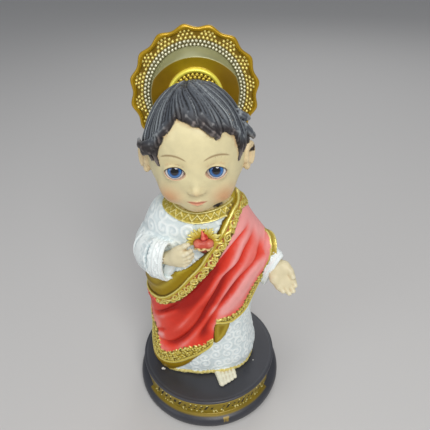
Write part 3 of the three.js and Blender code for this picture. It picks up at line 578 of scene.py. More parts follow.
# ---------------------------------------------------------------- sleeves
L_RINGS = [
    [[-18.4, -0.5, 63.0], [-0.1, -1, 0.1], 6.6, 4.2], [[-17.6, -5.2, 63.8], [0.30, -1, 0.08], 6.8, 4.8],
    [[-14.6, -9.6, 64.6], [0.75, -0.65, 0.0], 6.9, 4.3], [[-10.72, -12.17, 64.79], [0.863, -0.502, -0.058], 7.17, 3.5]]
R_RINGS = [
    [[17.4, -1.2, 60.2], [0.72, -0.5, -0.38], 6.4, 4.0], [[20.0, -3.5, 57.3], [0.75, -0.53, -0.38], 6.8, 3.8],
    [[21.4, -4.9, 55.6], [0.77, -0.53, -0.36], 7.1, 3.6], [[22.3, -5.6, 54.6], [0.771, -0.531, -0.352], 7.3, 3.5]]
M_RINGS = [
    [[14.5, -2.4, 61.6], [0.85, 0.35, -0.30], 7.0, 6.0], [[17.4, -2.8, 61.3], [0.79, 0.47, -0.33], 7.1, 5.3],
    [[19.45, -2.75, 60.9], [0.76, 0.53, -0.35], 7.05, 4.8]]


def sleeve_frame(ring):
    c, d, la, lb = ring
    t = np.array(d, float) / np.linalg.norm(d)
    u = np.array([0, 0, 1.0]) - t * t[2]
    u /= np.linalg.norm(u)
    return np.array(c, float), t, u, np.cross(t, u), la, lb


def sleeve_coords(ring, x, y, z):
    """Depth back from the opening, angle round it, and the oval's own scale."""
    c, t, u, v, la, lb = sleeve_frame(ring)
    px, py, pz = x - c[0], y - c[1], z - c[2]
    back = -(px * t[0] + py * t[1] + pz * t[2])
    a = px * u[0] + py * u[1] + pz * u[2]
    b = px * v[0] + py * v[1] + pz * v[2]
    ang = np.degrees(np.arctan2(b / lb, a / la))
    k = np.sqrt((a / la) ** 2 + (b / lb) ** 2)
    return back, ang, k, a, b


def sleeve_emboss(back, ang):
    sw = cells(ang * 0.105, back, 3.6, 31, lambda p, q, h: swirl(p, q, h, 3.6), 0.3)
    return sw * ease(3.9, 4.3, back) * (1 - ease(9, 11, back))


def cuffed(rings, wall, deep, lines, wave, stripes=False):
    base = f_oval(rings, 1.5)
    c, t, u, v, la, lb = sleeve_frame(rings[-1])

    def f(x, y, z):
        back, ang, k, a, b = sleeve_coords(rings[-1], x, y, z)
        d = base(x, y, z)
        for at, wd, hi in lines:
            d = d - hi * dome(back - at, wd)
        if wave:
            at, amp, wd, hi, n = wave
            d = d - hi * dome(back - at - amp * np.sin(np.radians(ang * n)), wd)
        if not stripes:
            d = d - 0.17 * sleeve_emboss(back, ang)
        la2, lb2 = la - wall, lb - wall
        kk = np.sqrt((a / la2) ** 2 + (b / lb2) ** 2) + 1e-6
        g = np.sqrt((a / la2 ** 2) ** 2 + (b / lb2 ** 2) ** 2) / kk + 1e-6
        hole = smax((kk - 1) / g, back - deep, 0.5)
        return smax(d, -hole, 0.35)
    return f


f_sleeve_l = cuffed(L_RINGS, 0.75, 3.0, [(0.30, 0.36, 0.16), (1.15, 0.30, 0.32), (3.30, 0.30, 0.32)], (2.22, 0.42, 0.28, 0.30, 12))
f_sleeve_r = cuffed(R_RINGS, 0.9, 1.4, [(0.35, 0.36, 0.16), (1.2, 0.24, 0.24), (3.0, 0.22, 0.20)], (2.1, 0.38, 0.22, 0.20, 12))
f_mantle_r = cuffed(M_RINGS, 0.9, 1.0, [(0.30, 0.34, 0.30), (0.92, 0.28, 0.24), (1.50, 0.28, 0.22), (2.05, 0.26, 0.20)], None, True)


# ---------------------------------------------------------------- hands and foot
def hand_heart():
    palm = [f_chain([[-13.0, -11.6, 66.2, 2.2], [-10.6, -12.8, 67.2, 2.5], [-8.8, -13.6, 68.4, 2.8]], 1.0),
            f_ball([-7.6, -13.9, 69.2], 1, (3.2, 2.35, 3.6)), f_ball([-8.2, -14.0, 67.4], 1, (2.7, 2.1, 2.4))]
    body = blend_of(palm, 1.4)
    fingers = []
    for k in range(4):
        z = 71.15 - 1.45 * k
        reach = [-0.55, -0.05, -0.15, -0.95][k]
        fingers.append(f_chain([[-7.6, -15.2, z - 1.0 + 0.20 * k, 0.92], [-6.0, -15.75, z - 0.45, 0.90], [-4.3 + reach, -15.6, z + 0.05, 0.82],
                                [-3.1 + reach, -14.4, z + 0.15, 0.72]], 0.35))
    thumb = f_chain([[-9.2, -13.9, 70.4, 1.25], [-7.4, -14.1, 72.2, 1.05], [-5.6, -14.1, 73.2, 0.92], [-4.5, -13.9, 73.5, 0.75]], 0.5)

    def f(x, y, z):
        d = body(x, y, z)
        e = None
        for q in fingers:
            v = q(x, y, z)
            e = v if e is None else smin(e, v, 0.22)
        d = smin(d, e, 0.9)
        return smin(d, thumb(x, y, z), 0.6)
    return f


def hand_open():
    wrist = np.array([22.9, -6.9, 57.4])
    al = np.array([0.47, -0.50, -0.72])
    al /= np.linalg.norm(al)
    ac = np.array([0.85, 0.35, 0.31])
    ac -= al * (ac @ al)
    ac /= np.linalg.norm(ac)
    out = np.cross(al, ac)
    if out[1] > 0:
        out = -out

    def at(l, w, h, r):
        return list(wrist + al * l + ac * w + out * h) + [r]
    palm = [f_chain([at(-4.0, 0, -0.3, 2.5), at(-0.8, 0, -0.2, 2.2), at(1.2, 0.1, -0.1, 2.0)], 1.0),
            f_chain([at(1.0, 1.5, -0.1, 1.6), at(6.0, 2.1, 0.0, 1.2)], 1.0), f_chain([at(1.0, -1.7, -0.1, 1.7), at(5.6, -2.2, 0.0, 1.3)], 1.0),
            f_chain([at(1.0, 0.0, -0.1, 1.7), at(6.8, 0.1, 0.1, 1.2)], 1.0), f_ball(at(3.0, -2.7, 0.1, 0)[:3], 1.35)]
    body = blend_of(palm, 1.3)
    pad = f_chain([at(0.6, 2.4, 0.5, 1.5), at(2.4, 2.6, 0.8, 1.3)], 0.8)
    thumb = f_chain([at(1.0, 2.9, 0.7, 1.25), at(3.2, 3.0, 1.1, 1.1), at(5.2, 2.8, 1.3, 0.9)], 0.6)
    fingers = []
    for w, reach in zip([2.55, 0.92, -0.80, -2.40], [8.0, 9.2, 9.2, 7.6]):
        fingers.append(f_chain([at(4.2, w * 0.95, -0.05, 1.12), at(5.8, w * 1.0, 0.05, 1.08), at(reach - 1.2, w * 0.93, 0.2, 1.0),
                                at(reach, w * 0.86, 0.7, 0.82)], 0.35))

    def f(x, y, z):
        d = body(x, y, z)
        e = None
        for q in fingers:
            v = q(x, y, z)
            e = v if e is None else smin(e, v, 0.12)
        d = smin(d, e, 0.6)
        d = smin(d, pad(x, y, z), 0.9)
        return smin(d, thumb(x, y, z), 0.35)
    return f


def foot():
    top = blend_of([f_chain([[4.9, -8.5, 12.3, 1.9], [5.4, -12.0, 12.2, 1.55], [6.0, -14.6, 12.1, 1.35]], 1.0),
                    f_chain([[3.2, -10.5, 12.2, 1.5], [3.5, -13.8, 12.2, 1.25]], 1.0), f_chain([[8.0, -10.5, 12.2, 1.5], [8.9, -13.4, 12.2, 1.15]], 1.0)], 1.2)
    toes = []
    for k in range(5):
        t = k / 4
        tip = [4.75 + 4.75 * t, -17.75 + 2.75 * t ** 1.25, 12.75 - 0.05 * t]
        r = [1.10, 0.88, 0.84, 0.80, 0.72][k]
        root_ = [3.1 + 5.6 * t, -12.6 + 0.9 * t, 12.95]
        toes.append(f_chain([[*root_, r * 1.05], [mix(root_[0], tip[0], 0.55), mix(root_[1], tip[1], 0.55), 13.0, r * 1.0], [*tip, r]], 0.35))

    def f(x, y, z):
        e = None
        for q in toes:
            v = q(x, y, z)
            e = v if e is None else smin(e, v, 0.10)
        return smin(top(x, y, z), e, 0.3)
    return f


def shrunk(g, c, k):
    """A shape made smaller about a point."""
    return lambda x, y, z: g(c[0] + (x - c[0]) / k, c[1] + (y - c[1]) / k, c[2] + (z - c[2]) / k) * k


f_hand_l, f_hand_r, f_foot = shrunk(hand_heart(), (-3.5, -14.8, 67.6), 0.86), hand_open(), foot()

# ---------------------------------------------------------------- heart, flame and rays
HX_, HY_, HZ_ = 0.1, -12.3, 71.6
f_heart = blend_of([f_ball([HX_ - 1.35, HY_ - 0.5, HZ_ + 0.45], 1, (1.65, 1.55, 1.45)), f_ball([HX_ + 1.35, HY_ - 0.5, HZ_ + 0.45], 1, (1.65, 1.55, 1.45)),
                    f_chain([[HX_, HY_ - 0.4, HZ_ + 0.1, 1.75], [HX_, HY_ - 0.1, HZ_ - 1.5, 1.45], [HX_, HY_ + 0.3, HZ_ - 3.0, 0.75]], 0.6)], 0.45)
f_flame = blend_of([f_chain([[HX_ + 0.05, HY_ - 0.3, HZ_ + 1.2, 0.72], [HX_ + 0.05, HY_ - 0.35, HZ_ + 2.3, 0.80], [HX_ - 0.10, HY_ - 0.1, HZ_ + 3.4, 0.46], [HX_ - 0.35, HY_ + 0.15, HZ_ + 4.7, 0.12]], 0.4),
                    f_chain([[HX_ + 0.6, HY_ - 0.25, HZ_ + 1.2, 0.55], [HX_ + 0.95, HY_ - 0.2, HZ_ + 2.2, 0.36], [HX_ + 0.75, HY_, HZ_ + 3.3, 0.12]], 0.3)], 0.25)
garland = [f_chain([[HX_ + 2.95 * math.sin(a), HY_ + 0.1 - 2.35 * math.cos(a), HZ_ - 0.55 + 0.30 * math.sin(a * 8 + 0.6), 0.27 + 0.12 * math.cos(a * 13)] for a in np.linspace(-1.25, 1.25, 23)], 0.1)]
f_garland = garland[0]
ray_parts = []
for k in range(21):
    a = math.radians(-20 + 220 * k / 20)
    if 80 < math.degrees(a) < 100:
        continue
    long = [4.5, 5.5, 4.9][k % 3] + 0.3 * math.sin(k * 2.3)
    c, s = math.cos(a), math.sin(a)
    b = 0.12 * math.sin(k * 1.7)
    pts = []
    for q, rr in ((0.30, 0.56), (0.6, 0.50), (0.85, 0.34), (1.0, 0.16)):
        w = b * math.sin(q * 6) * 3
        pts.append([HX_ + c * long * q - s * w, HY_ + 0.95 - 0.6 * q, HZ_ + 0.8 + s * long * q * 0.98 + c * w, rr])
    ray_parts.append(f_chain(pts, 0.15))
f_rays = blend_of(ray_parts + [f_ball([HX_, HY_ + 1.5, HZ_ + 0.9], 1, (3.5, 0.8, 3.3))], 0.10)


# ---------------------------------------------------------------- head
def head_shell(x, y, z, grow=0.0):
    """Distance to the plain egg of the head."""
    dx, dy, dz = x - HEAD[0], y - HEAD[1], z - HEAD[2]
    a, b, c = HEAD_R + grow
    c = np.where(dz < 0, c * 0.965, c)
    p = np.where(dz < 0, 2.35, 2.0)
    narrow = 1 - 0.15 * ease(-0.30 * c, -0.95 * c, dz)
    ux, uy, uz = dx / (a * narrow), dy / b, np.abs(dz) / c
    zp = np.power(np.maximum(uz, 1e-6), p)
    k = np.sqrt(ux ** 2 + uy ** 2 + zp)
    g = np.sqrt((ux / a) ** 2 + (uy / b) ** 2 + (0.5 * p * zp / np.maximum(uz, 1e-3) / c) ** 2) / np.maximum(k, 1e-6) + 1e-6
    return (k - 1) / g


X0 = HEAD[0]
EY = [(X0 - EYE_X), (X0 + EYE_X)]
skin_soft = [
    (f_ball([X0 - 5.3, -8.8, 88.9], 1, (4.8, 4.6, 4.5)), 2.8), (f_ball([X0 + 5.3, -8.8, 88.9], 1, (4.8, 4.6, 4.5)), 2.8),
    (f_ball([X0, -10.5, 87.2], 1, (4.4, 3.3, 3.6)), 2.6), (f_ball([X0, -9.9, 84.5], 1, (3.3, 2.6, 2.3)), 2.6),
    (f_ball([X0, -7.6, 104.5], 1, (10.5, 7.4, 6.8)), 3.0),
]
f_nose = blend_of([f_chain([[X0, -14.2, 96.6, 1.0], [X0, -15.1, 93.9, 1.0], [X0, -15.75, 92.0, 1.05]], 0.8), f_ball([X0, -16.0, 91.3], 1, (1.25, 1.15, 1.08)),
                   f_ball([X0 - 1.3, -15.2, 90.9], 1, (0.85, 0.95, 0.8)), f_ball([X0 + 1.3, -15.2, 90.9], 1, (0.85, 0.95, 0.8))], 0.8)
LIP_UP = [[-2.8, -13.2, 87.55, 0.12], [-1.8, -13.8, 87.42, 0.30], [-0.75, -14.15, 87.50, 0.38], [0, -14.22, 87.34, 0.34],
          [0.75, -14.15, 87.50, 0.38], [1.8, -13.8, 87.42, 0.30], [2.8, -13.2, 87.55, 0.12]]
LIP_LO = [[-2.25, -13.4, 87.05, 0.14], [-1.2, -13.85, 86.50, 0.36], [0, -14.05, 86.30, 0.46], [1.2, -13.85, 86.50, 0.36], [2.25, -13.4, 87.05, 0.14]]
shift = lambda pts: [[X0 + p[0], p[1] + 0.05, p[2], p[3]] for p in pts]
f_lip_up, f_lip_lo = f_chain(shift(LIP_UP), 0.3), f_chain(shift(LIP_LO), 0.3)
f_mouth_line = f_chain([[X0 - 2.75, -13.4, 87.55, 0.07], [X0 - 2.2, -13.75, 87.25, 0.10], [X0 - 1.1, -14.4, 86.95, 0.11], [X0, -14.7, 86.85, 0.11], [X0 + 1.1, -14.4, 86.95, 0.11],
                        [X0 + 2.2, -13.75, 87.25, 0.10], [X0 + 2.75, -13.4, 87.55, 0.07]], 0.1)


def almond(x, z, ex, grow=0.0):
    up = np.hypot(x - ex, z - (EYE_Z - 1.36)) - (3.12 + grow)
    lo_ = np.hypot(x - ex, z - (EYE_Z + 1.34)) - (3.11 + grow)
    return smax(up, lo_, 0.5)


def f_ear(side):
    """Shell with a rolled rim, an inner hollow and a lobe."""
    ex, ey, ez = X0 + side * 13.3, -3.6, 96.2
    yaw = math.radians(-30 * side)
    rot = np.array(Matrix.Rotation(yaw, 3, "Z") @ Matrix.Rotation(math.radians(8), 3, "X"))
    shell = f_ball([ex + 0.8 * side, ey, ez], 1, (1.15, 2.7, 4.1), rot)
    o = rot @ np.array([1.0 * side, 0, 0])
    u = rot @ np.array([0, 1.0, 0])
    w = rot @ np.array([0, 0, 1.0])
    c = np.array([ex + 0.8 * side, ey, ez]) + 0.75 * o
    rim = f_chain([[*(c + u * 2.15 * math.cos(a) + w * 3.35 * math.sin(a)), 0.55] for a in np.radians(np.linspace(-70, 215, 16))], 0.3)
    fold = f_chain([[*(c - 0.15 * o + u * (0.2 + 1.15 * math.cos(a)) + w * (-0.2 + 2.0 * math.sin(a))), 0.36] for a in np.radians(np.linspace(-50, 120, 10))], 0.2)
    hollow = f_ball(c + 0.25 * o - 0.3 * u + 0.1 * w, 1, (1.0, 1.45, 2.5), rot)
    lobe = f_ball([ex + 0.7 * side, ey - 0.9, ez - 3.2], 1, (0.95, 1.35, 1.3))
    tragus = f_ball([ex + 0.3 * side, ey - 2.1, ez - 0.6], 1, (0.8, 0.7, 1.0))

    def f(x, y, z):
        d = smin(shell(x, y, z), lobe(x, y, z), 0.8)
        d = smax(d, -hollow(x, y, z), 0.4)
        d = smin(d, rim(x, y, z), 0.3)
        d = smin(d, fold(x, y, z), 0.2)
        return smin(d, tragus(x, y, z), 0.5)
    return f


ears = [f_ear(-1), f_ear(1)]
lid_out = [f_ball([ex, EYE_Y, EYE_Z], EYE_R + 0.40) for ex in EY]
eye_cut = [f_ball([ex, EYE_Y, EYE_Z], EYE_R + 0.03) for ex in EY]
hollows = [f_ball([ex, -19.6, 97.2], 1, (3.9, 4.4, 3.3)) for ex in EY]


def brow_off(x, z, ex, side):
    """Distance above one brow's arc, and how far along it from its middle."""
    bx = (x - ex) * side
    return z - (101.35 - 0.10 * (bx - 0.3) ** 2), np.abs(bx - 0.2)


def f_face(x, y, z):
    d = head_shell(x, y, z)
    for p, k in skin_soft:
        d = smin(d, p(x, y, z), k)
    for hcut in hollows:
        d = smax(d, -hcut(x, y, z), 1.6)
    d = smin(d, f_nose(x, y, z), 0.9)
    d = smin(d, smin(f_lip_up(x, y, z), f_lip_lo(x, y, z), 0.12), 0.35)
    d = smax(d, -f_mouth_line(x, y, z), 0.22)
    d = smax(d, -f_chain([[X0, -15.65, 89.3, 0.14], [X0, -14.95, 88.4, 0.20]], 0.2)(x, y, z), 0.5)
    for side in (-1, 1):
        d = smax(d, -f_ball([X0 + 0.72 * side, -16.2, 89.95], 1, (0.42, 0.62, 0.36))(x, y, z), 0.25)
    for ex, lid in zip(EY, lid_out):
        d = smin(d, lid(x, y, z), 0.55)
        opening = np.maximum(almond(x, z, ex), y - EYE_Y)
        d = smax(d, -opening, 0.22)
    for cut in eye_cut:
        d = np.maximum(d, -cut(x, y, z))
    return d


f_neck = f_chain([[-0.6, -1.2, 76.0, 5.2], [-0.9, -1.8, 84.0, 5.2]], 0.5)


# ---------------------------------------------------------------- hair
def dir_of(az, up):
    s = math.sqrt(max(0.0, 1 - up * up))
    return np.array([s * math.sin(math.radians(az)), -s * math.cos(math.radians(az)), up])


def shell_point(az, z, out):
    """Point of the head's egg at an azimuth and height, moved out."""
    dz = z - HEAD[2]
    c = HEAD_R[2] + out
    up = np.clip(dz / c, -0.985, 0.985)
    p = 2.35 if up < 0 else 2.0
    s = math.sqrt(max(0.0, 1 - abs(up) ** p))
    return np.array([HEAD[0] + (HEAD_R[0] + out) * s * math.sin(math.radians(az)), HEAD[1] - (HEAD_R[1] + out) * s * math.cos(math.radians(az)), z])


def on_shell(q, out):
    """Moves a point to the egg, then out."""
    d = q - HEAD
    for _ in range(3):
        v = float(head_shell(*(HEAD + d)))
        n = d / HEAD_R ** 2
        n /= np.linalg.norm(n)
        d = d - n * (v - out)
    return HEAD + d


# strands run from the crown over the head; each keeps one number (psi) all the way
N0 = np.array([(CROWN[0] - HEAD[0]) / HEAD_R[0], (CROWN[1] - HEAD[1]) / HEAD_R[1], 0.0])
N0[2] = math.sqrt(1 - N0[0] ** 2 - N0[1] ** 2)
EF = np.array([0.0, -1.0, 0.0]) - N0 * (-N0[1])
EF /= np.linalg.norm(EF)
ER = np.cross(EF, N0)
if ER[0] < 0:
    ER = -ER
SWEEP = curve([[-180, 0], [-120, -5], [-70, -9], [-45, -6], [-33, 3], [-20, 22], [0, 34], [20, 32], [45, 20], [80, 8], [120, 3], [180, 0]])
T_ROWS = np.arange(0, 3.16, 0.02)
A_COLS = np.arange(-180, 180.5, 0.5)
BEND = np.array([np.interp(A_COLS, A_COLS + SWEEP(A_COLS) * ease(0.25, 1.35, t), A_COLS) - A_COLS for t in T_ROWS])


def spaced(n, seed, spread):
    w = 1 + spread * (np.random.default_rng(seed).random(n) - 0.5)
    return np.concatenate([[0], np.cumsum(w)]) / w.sum() * 360.0


def respaced(edges, t):
    """Edges evenly spread where the strands lie at polar angle t, as their numbers."""
    a0 = np.linspace(-180, 180, 1441)
    return np.interp(edges - 180.0, a0 + SWEEP(a0) * ease(0.25, 1.35, t), a0) + 180.0


FINE_B, MID_B, GROUP_B = respaced(spaced(92, 3, 0.9), 1.2), respaced(spaced(60, 4, 0.9), 0.6), respaced(spaced(21, 12, 0.8), 1.1)


def banded(psi, edges):
    """Place within its band (0 to 1) and the band's number."""
    q = np.interp(np.mod(psi + 180.0, 360.0), edges, np.arange(len(edges)))
    n = np.floor(q)
    return q - n, n


def hair_chart(x, y, z):
    ux, uy, uz = (x - HEAD[0]) / HEAD_R[0], (y - HEAD[1]) / HEAD_R[1], (z - HEAD[2]) / HEAD_R[2]
    n = np.sqrt(ux * ux + uy * uy + uz * uz) + 1e-6
    t = np.arccos(np.clip((ux * N0[0] + uy * N0[1] + uz * N0[2]) / n, -1, 1))
    al = np.degrees(np.arctan2(ux * ER[0] + uy * ER[1] + uz * ER[2], ux * EF[0] + uy * EF[1] + uz * EF[2]))
    fi, fj = np.clip(t / 0.02, 0, len(T_ROWS) - 1.001), np.clip((al + 180) / 0.5, 0, len(A_COLS) - 1.001)
    i, j = fi.astype(int), fj.astype(int)
    a, b = fi - i, fj - j
    bend = (BEND[i, j] * (1 - b) + BEND[i, j + 1] * b) * (1 - a) + (BEND[i + 1, j] * (1 - b) + BEND[i + 1, j + 1] * b) * a
    psi = al + bend
    psi = psi + ease(0.3, 0.8, t) * (1.6 * np.sin(3.1 * t + np.radians(psi) * 5) + 0.9 * np.sin(6.3 * t + np.radians(psi) * 9 + 1.0))
    return psi, t, al


def strands(psi, t):
    """Heights of the fine strands and of the broad locks, 0 to 1 each."""
    f1, n1 = banded(psi, FINE_B)
    f2, n2 = banded(psi, MID_B)
    f3, n3 = banded(psi, GROUP_B)
    a = (1 - np.abs(2 * f1 - 1) ** 2.2) * (0.62 + 0.38 * hashed(n1, 1.0, 2))
    b = (1 - np.abs(2 * f2 - 1) ** 2.4) * (0.62 + 0.38 * hashed(n2, 3.0, 4))
    fine = mix(b, a, ease(0.36, 0.62, t)) * ease(0.03, 0.22, t) * (1 - 0.6 * ease(1.9, 2.2, t))
    broad = (1 - np.abs(2 * f3 - 1) ** 3.0) * ease(0.10, 0.45, t) * (0.7 + 0.3 * hashed(n3, 5.0, 6))
    return fine, broad, f3, n3


LOCKS = []


def lay(points):
    """One lock through (azimuth, height, out, radius), made of three strands."""
    P = np.array(points, float)
    d = np.gradient(np.stack([P[:, 0] * 0.235, P[:, 1]], -1), axis=0)
    d /= np.linalg.norm(d, axis=1)[:, None] + 1e-9
    for k, w in ((0, 0.14), (-1, -0.1), (1, -0.1)):
        LOCKS.append([[*shell_point(az - k * 0.56 * r * dd[1] / 0.235, z + k * 0.56 * r * dd[0], out + w), r * 0.60]
                      for (az, z, out, r), dd in zip(P, d)])


# locks that stand out from the combed hair: the rolled fringe, the sideburns and the curls over the ears
lay([(-40, 105.4, 0.7, 1.2), (-50, 103.4, 1.3, 1.3), (-61, 101.9, 1.9, 1.15), (-70, 101.6, 2.3, 0.9), (-75, 102.8, 2.3, 0.35)])
lay([(-44, 104.0, 0.6, 1.0), (-54, 101.6, 1.2, 1.1), (-66, 99.9, 1.6, 0.9), (-76, 100.4, 1.8, 0.35)])
lay([(-46, 103.2, 0.5, 0.9), (-49, 100.6, 0.5, 0.75), (-46, 98.6, 0.3, 0.5), (-44, 97.6, 0.2, 0.25)])
lay([(-50, 103.0, 0.7, 0.9), (-56, 100.4, 0.8, 0.75), (-54, 98.4, 0.4, 0.35)])
lay([(2, 111.0, 0.9, 1.0), (12, 109.3, 1.4, 1.1), (21, 107.5, 1.7, 1.0), (27, 106.1, 1.4, 0.65), (24, 105.5, 0.9, 0.3)])
lay([(12, 111.2, 1.0, 1.0), (22, 109.0, 1.5, 1.0), (29, 106.9, 1.4, 0.6), (28, 105.9, 0.9, 0.3)])
lay([(36, 108.4, 1.0, 1.1), (46, 106.6, 1.3, 1.0), (54, 105.6, 1.5, 0.7), (57, 106.4, 1.4, 0.3)])
lay([(57, 104.6, 0.7, 1.0), (60, 101.6, 0.6, 0.85), (58, 99.2, 0.4, 0.55), (56, 97.6, 0.2, 0.25)])
lay([(63, 103.6, 0.8, 0.9), (66, 101.0, 0.8, 0.7), (64, 99.2, 0.4, 0.3)])
lay([(76, 105.4, 1.0, 1.2), (84, 102.9, 1.8, 1.1), (90, 101.2, 2.4, 0.8), (93, 101.8, 2.6, 0.3)])
lay([(78, 108.6, 1.0, 1.1), (86, 106.9, 1.7, 1.0), (92, 106.0, 2.2, 0.6), (95, 106.8, 2.3, 0.25)])
lay([(-28, 109.8, 0.6, 1.1), (-34, 107.9, 1.1, 1.15), (-41, 106.3, 1.4, 0.95), (-47, 105.8, 1.5, 0.4)])
lay([(-16, 112.2, 0.7, 1.1), (-8, 110.9, 1.2, 1.1), (1, 109.7, 1.4, 0.9), (7, 109.0, 1.2, 0.4)])
LOCK_F = [f_chain(p, 0.2) for p in LOCKS]
LOCK_BOX = [(np.array(p)[:, :3].min(0) - np.array(p)[:, 3].max(), np.array(p)[:, :3].max(0) + np.array(p)[:, 3].max()) for p in LOCKS]


def f_cap(x, y, z):
    """The combed hair, ended at the hairline."""
    az = np.degrees(np.arctan2(x - HEAD[0], -(y - HEAD[1])))
    psi, t, al = hair_chart(x, y, z)
    fine, broad, f3, n3 = strands(psi, t)
    line = HAIRLINE(az) + 0.0 * z
    above = z - line
    fringe = bell(above - 2.4, 3.2) * ease(115, 85, np.abs(az))
    out = 0.50 + 0.55 * broad + 0.42 * fine + 0.50 * fringe - 0.55 * bell(np.abs(az) - 88, 34)
    d = head_shell(x, y, z) - out
    end = line + 0.5 - 0.9 * broad * ease(150, 110, np.abs(az)) - 1.6 * broad * ease(110, 150, np.abs(az))
    return smax(d, (end - z) * 0.75, 0.6)


# ---------------------------------------------------------------- the halo's own frame, and its seat in the head
def halo_local(x, y, z):
    """(across, up, forward) in the halo's frame."""
    yw, tl = math.radians(HALO["yaw"]), math.radians(HALO["tilt"])
    M = np.array([[math.cos(yw), 0, math.sin(yw)], [math.sin(yw), math.sin(tl), -math.cos(yw)], [0, math.cos(tl), math.sin(tl)]])
    Mi = np.linalg.inv(M)
    dx, dy, dz = x - HALO["x"], y - HALO["y"], z - HALO["z"]
    return (Mi[0, 0] * dx + Mi[0, 1] * dy + Mi[0, 2] * dz, Mi[1, 0] * dx + Mi[1, 1] * dy + Mi[1, 2] * dz,
            Mi[2, 0] * dx + Mi[2, 1] * dy + Mi[2, 2] * dz)


SEAT = curve([[0, 4.9], [6.9, 4.9], [8.5, 4.75], [8.8, 3.4], [12.9, 3.35], [13.2, 1.35], [19.5, 1.3]])


def f_seat(x, y, z):
    """Room behind the head that the halo stands in."""
    a, b, f = halo_local(x, y, z)
    r = np.hypot(a, b)
    return np.maximum(f - SEAT(r), r - 19.6)


# ---------------------------------------------------------------- the figure's distance field
BIG = ([-24.2, -20.2, 11.0], [31.4, 14.9, 118.0])
PARTS = [  # name, box, function, smooth join
    ("body", ([-24.2, -15.6, 11.0], [24.6, 14.6, 88.6]), f_body, 0.0),
    ("skin_neck", ([-7.5, -8.5, 76.0], [6.0, 5.5, 88.0]), f_neck, 0.5),
    ("sleeve_l", ([-24.1, -18.5, 52.5], [-5.5, 3.0, 76.0]), f_sleeve_l, 0.9),
    ("mantle_r", ([10.0, -11.5, 50.0], [25.4, 6.5, 72.5]), f_mantle_r, 0.9),
    ("sleeve_r", ([14.5, -13.5, 46.0], [29.0, 5.5, 69.5]), f_sleeve_r, 0.3),
    ("hand_l", ([-17.0, -18.6, 60.5], [-0.5, -7.5, 76.0]), f_hand_l, 0.15),
    ("hand_r", ([17.0, -17.0, 44.0], [31.4, -0.5, 64.0]), f_hand_r, 0.15),
    ("foot", ([0.0, -20.0, 11.0], [12.0, -3.0, 18.0]), f_foot, 0.2),
    ("rays", ([-6.6, -14.6, 67.0], [6.8, -9.0, 78.6]), f_rays, 0.25),
    ("heart", ([-4.0, -16.0, 66.5], [4.2, -9.0, 74.8]), f_heart, 0.12),
    ("flame", ([-2.2, -14.4, 71.5], [2.0, -10.0, 77.8]), f_flame, 0.12),
    ("garland", ([-4.2, -15.6, 69.0], [4.4, -10.0, 73.0]), f_garland, 0.12),
    ("skin", ([-16.2, -19.2, 78.6], [14.2, 12.6, 117.0]), f_face, 0.3),
    ("skin_ear", ([-18.4, -8.6, 90.0], [-11.6, 1.8, 101.8]), ears[0], 0.7),
    ("skin_ear2", ([9.4, -8.6, 90.0], [16.2, 1.8, 101.8]), ears[1], 0.7),
    ("hair", ([-17.2, -19.0, 84.0], [15.2, 13.4, 118.0]), f_cap, 0.35),
]
for k, (g, (lo_, hi_)) in enumerate(zip(LOCK_F, LOCK_BOX)):
    PARTS.append(("hair", (list(lo_ - 0.9), list(hi_ + 0.9)), g, 0.22))


def field(P):
    """Distance of the whole figure at points."""
    d = np.full(len(P), 5.0)
    for name, (a, b), f, k in PARTS:
        m = np.all((P >= np.array(a)) & (P <= np.array(b)), axis=1)
        if not m.any():
            continue
        q = P[m]
        v = f(q[:, 0], q[:, 1], q[:, 2])
        d[m] = smin(d[m], v, k) if k > 0 else np.minimum(d[m], v)
    d = np.maximum(d, FOOT_Z - P[:, 2])
    m = P[:, 2] > 86
    q = P[m]
    d[m] = np.maximum(d[m], -f_seat(q[:, 0], q[:, 1], q[:, 2]))
    for cut in eye_cut:
        m = (P[:, 2] > 92) & (P[:, 2] < 101) & (P[:, 1] < -8)
        q = P[m]
        d[m] = np.maximum(d[m], -cut(q[:, 0], q[:, 1], q[:, 2]))
    return d


def grid_field(h):
    lo_ = np.array(BIG[0])
    n = np.ceil((np.array(BIG[1]) - lo_) / h).astype(int) + 1
    ax = [lo_[k] + h * np.arange(n[k]) for k in range(3)]
    F = np.full(n, 5.0, np.float32)

    def part(a, b):
        i0 = np.maximum(np.floor((np.array(a) - lo_) / h).astype(int), 0)
        i1 = np.minimum(np.ceil((np.array(b) - lo_) / h).astype(int) + 1, n)
        sl = tuple(slice(p, q) for p, q in zip(i0, i1))
        X, Y, Z = (ax[0][sl[0]][:, None, None], ax[1][sl[1]][None, :, None], ax[2][sl[2]][None, None, :])
        return sl, X, Y, Z
    for name, (a, b), f, k in PARTS:
        sl, X, Y, Z = part(a, b)
        v = f(X, Y, Z).astype(np.float32)
        F[sl] = smin(F[sl], v, k) if k > 0 else np.minimum(F[sl], v)
    sl, X, Y, Z = part([-24, -5, 86], [31, 16, 118])
    F[sl] = np.maximum(F[sl], -f_seat(X, Y, Z))
    for ex, cut in zip(EY, eye_cut):
        sl, X, Y, Z = part([ex - 3.6, -16.5, 92.6], [ex + 3.6, -8.5, 100.2])
        F[sl] = np.maximum(F[sl], -cut(X, Y, Z))
    F = np.maximum(F, (FOOT_Z - ax[2])[None, None, :].astype(np.float32))
    F[0], F[-1], F[:, 0], F[:, -1], F[:, :, 0], F[:, :, -1] = 1, 1, 1, 1, 1, 1
    return F, ax


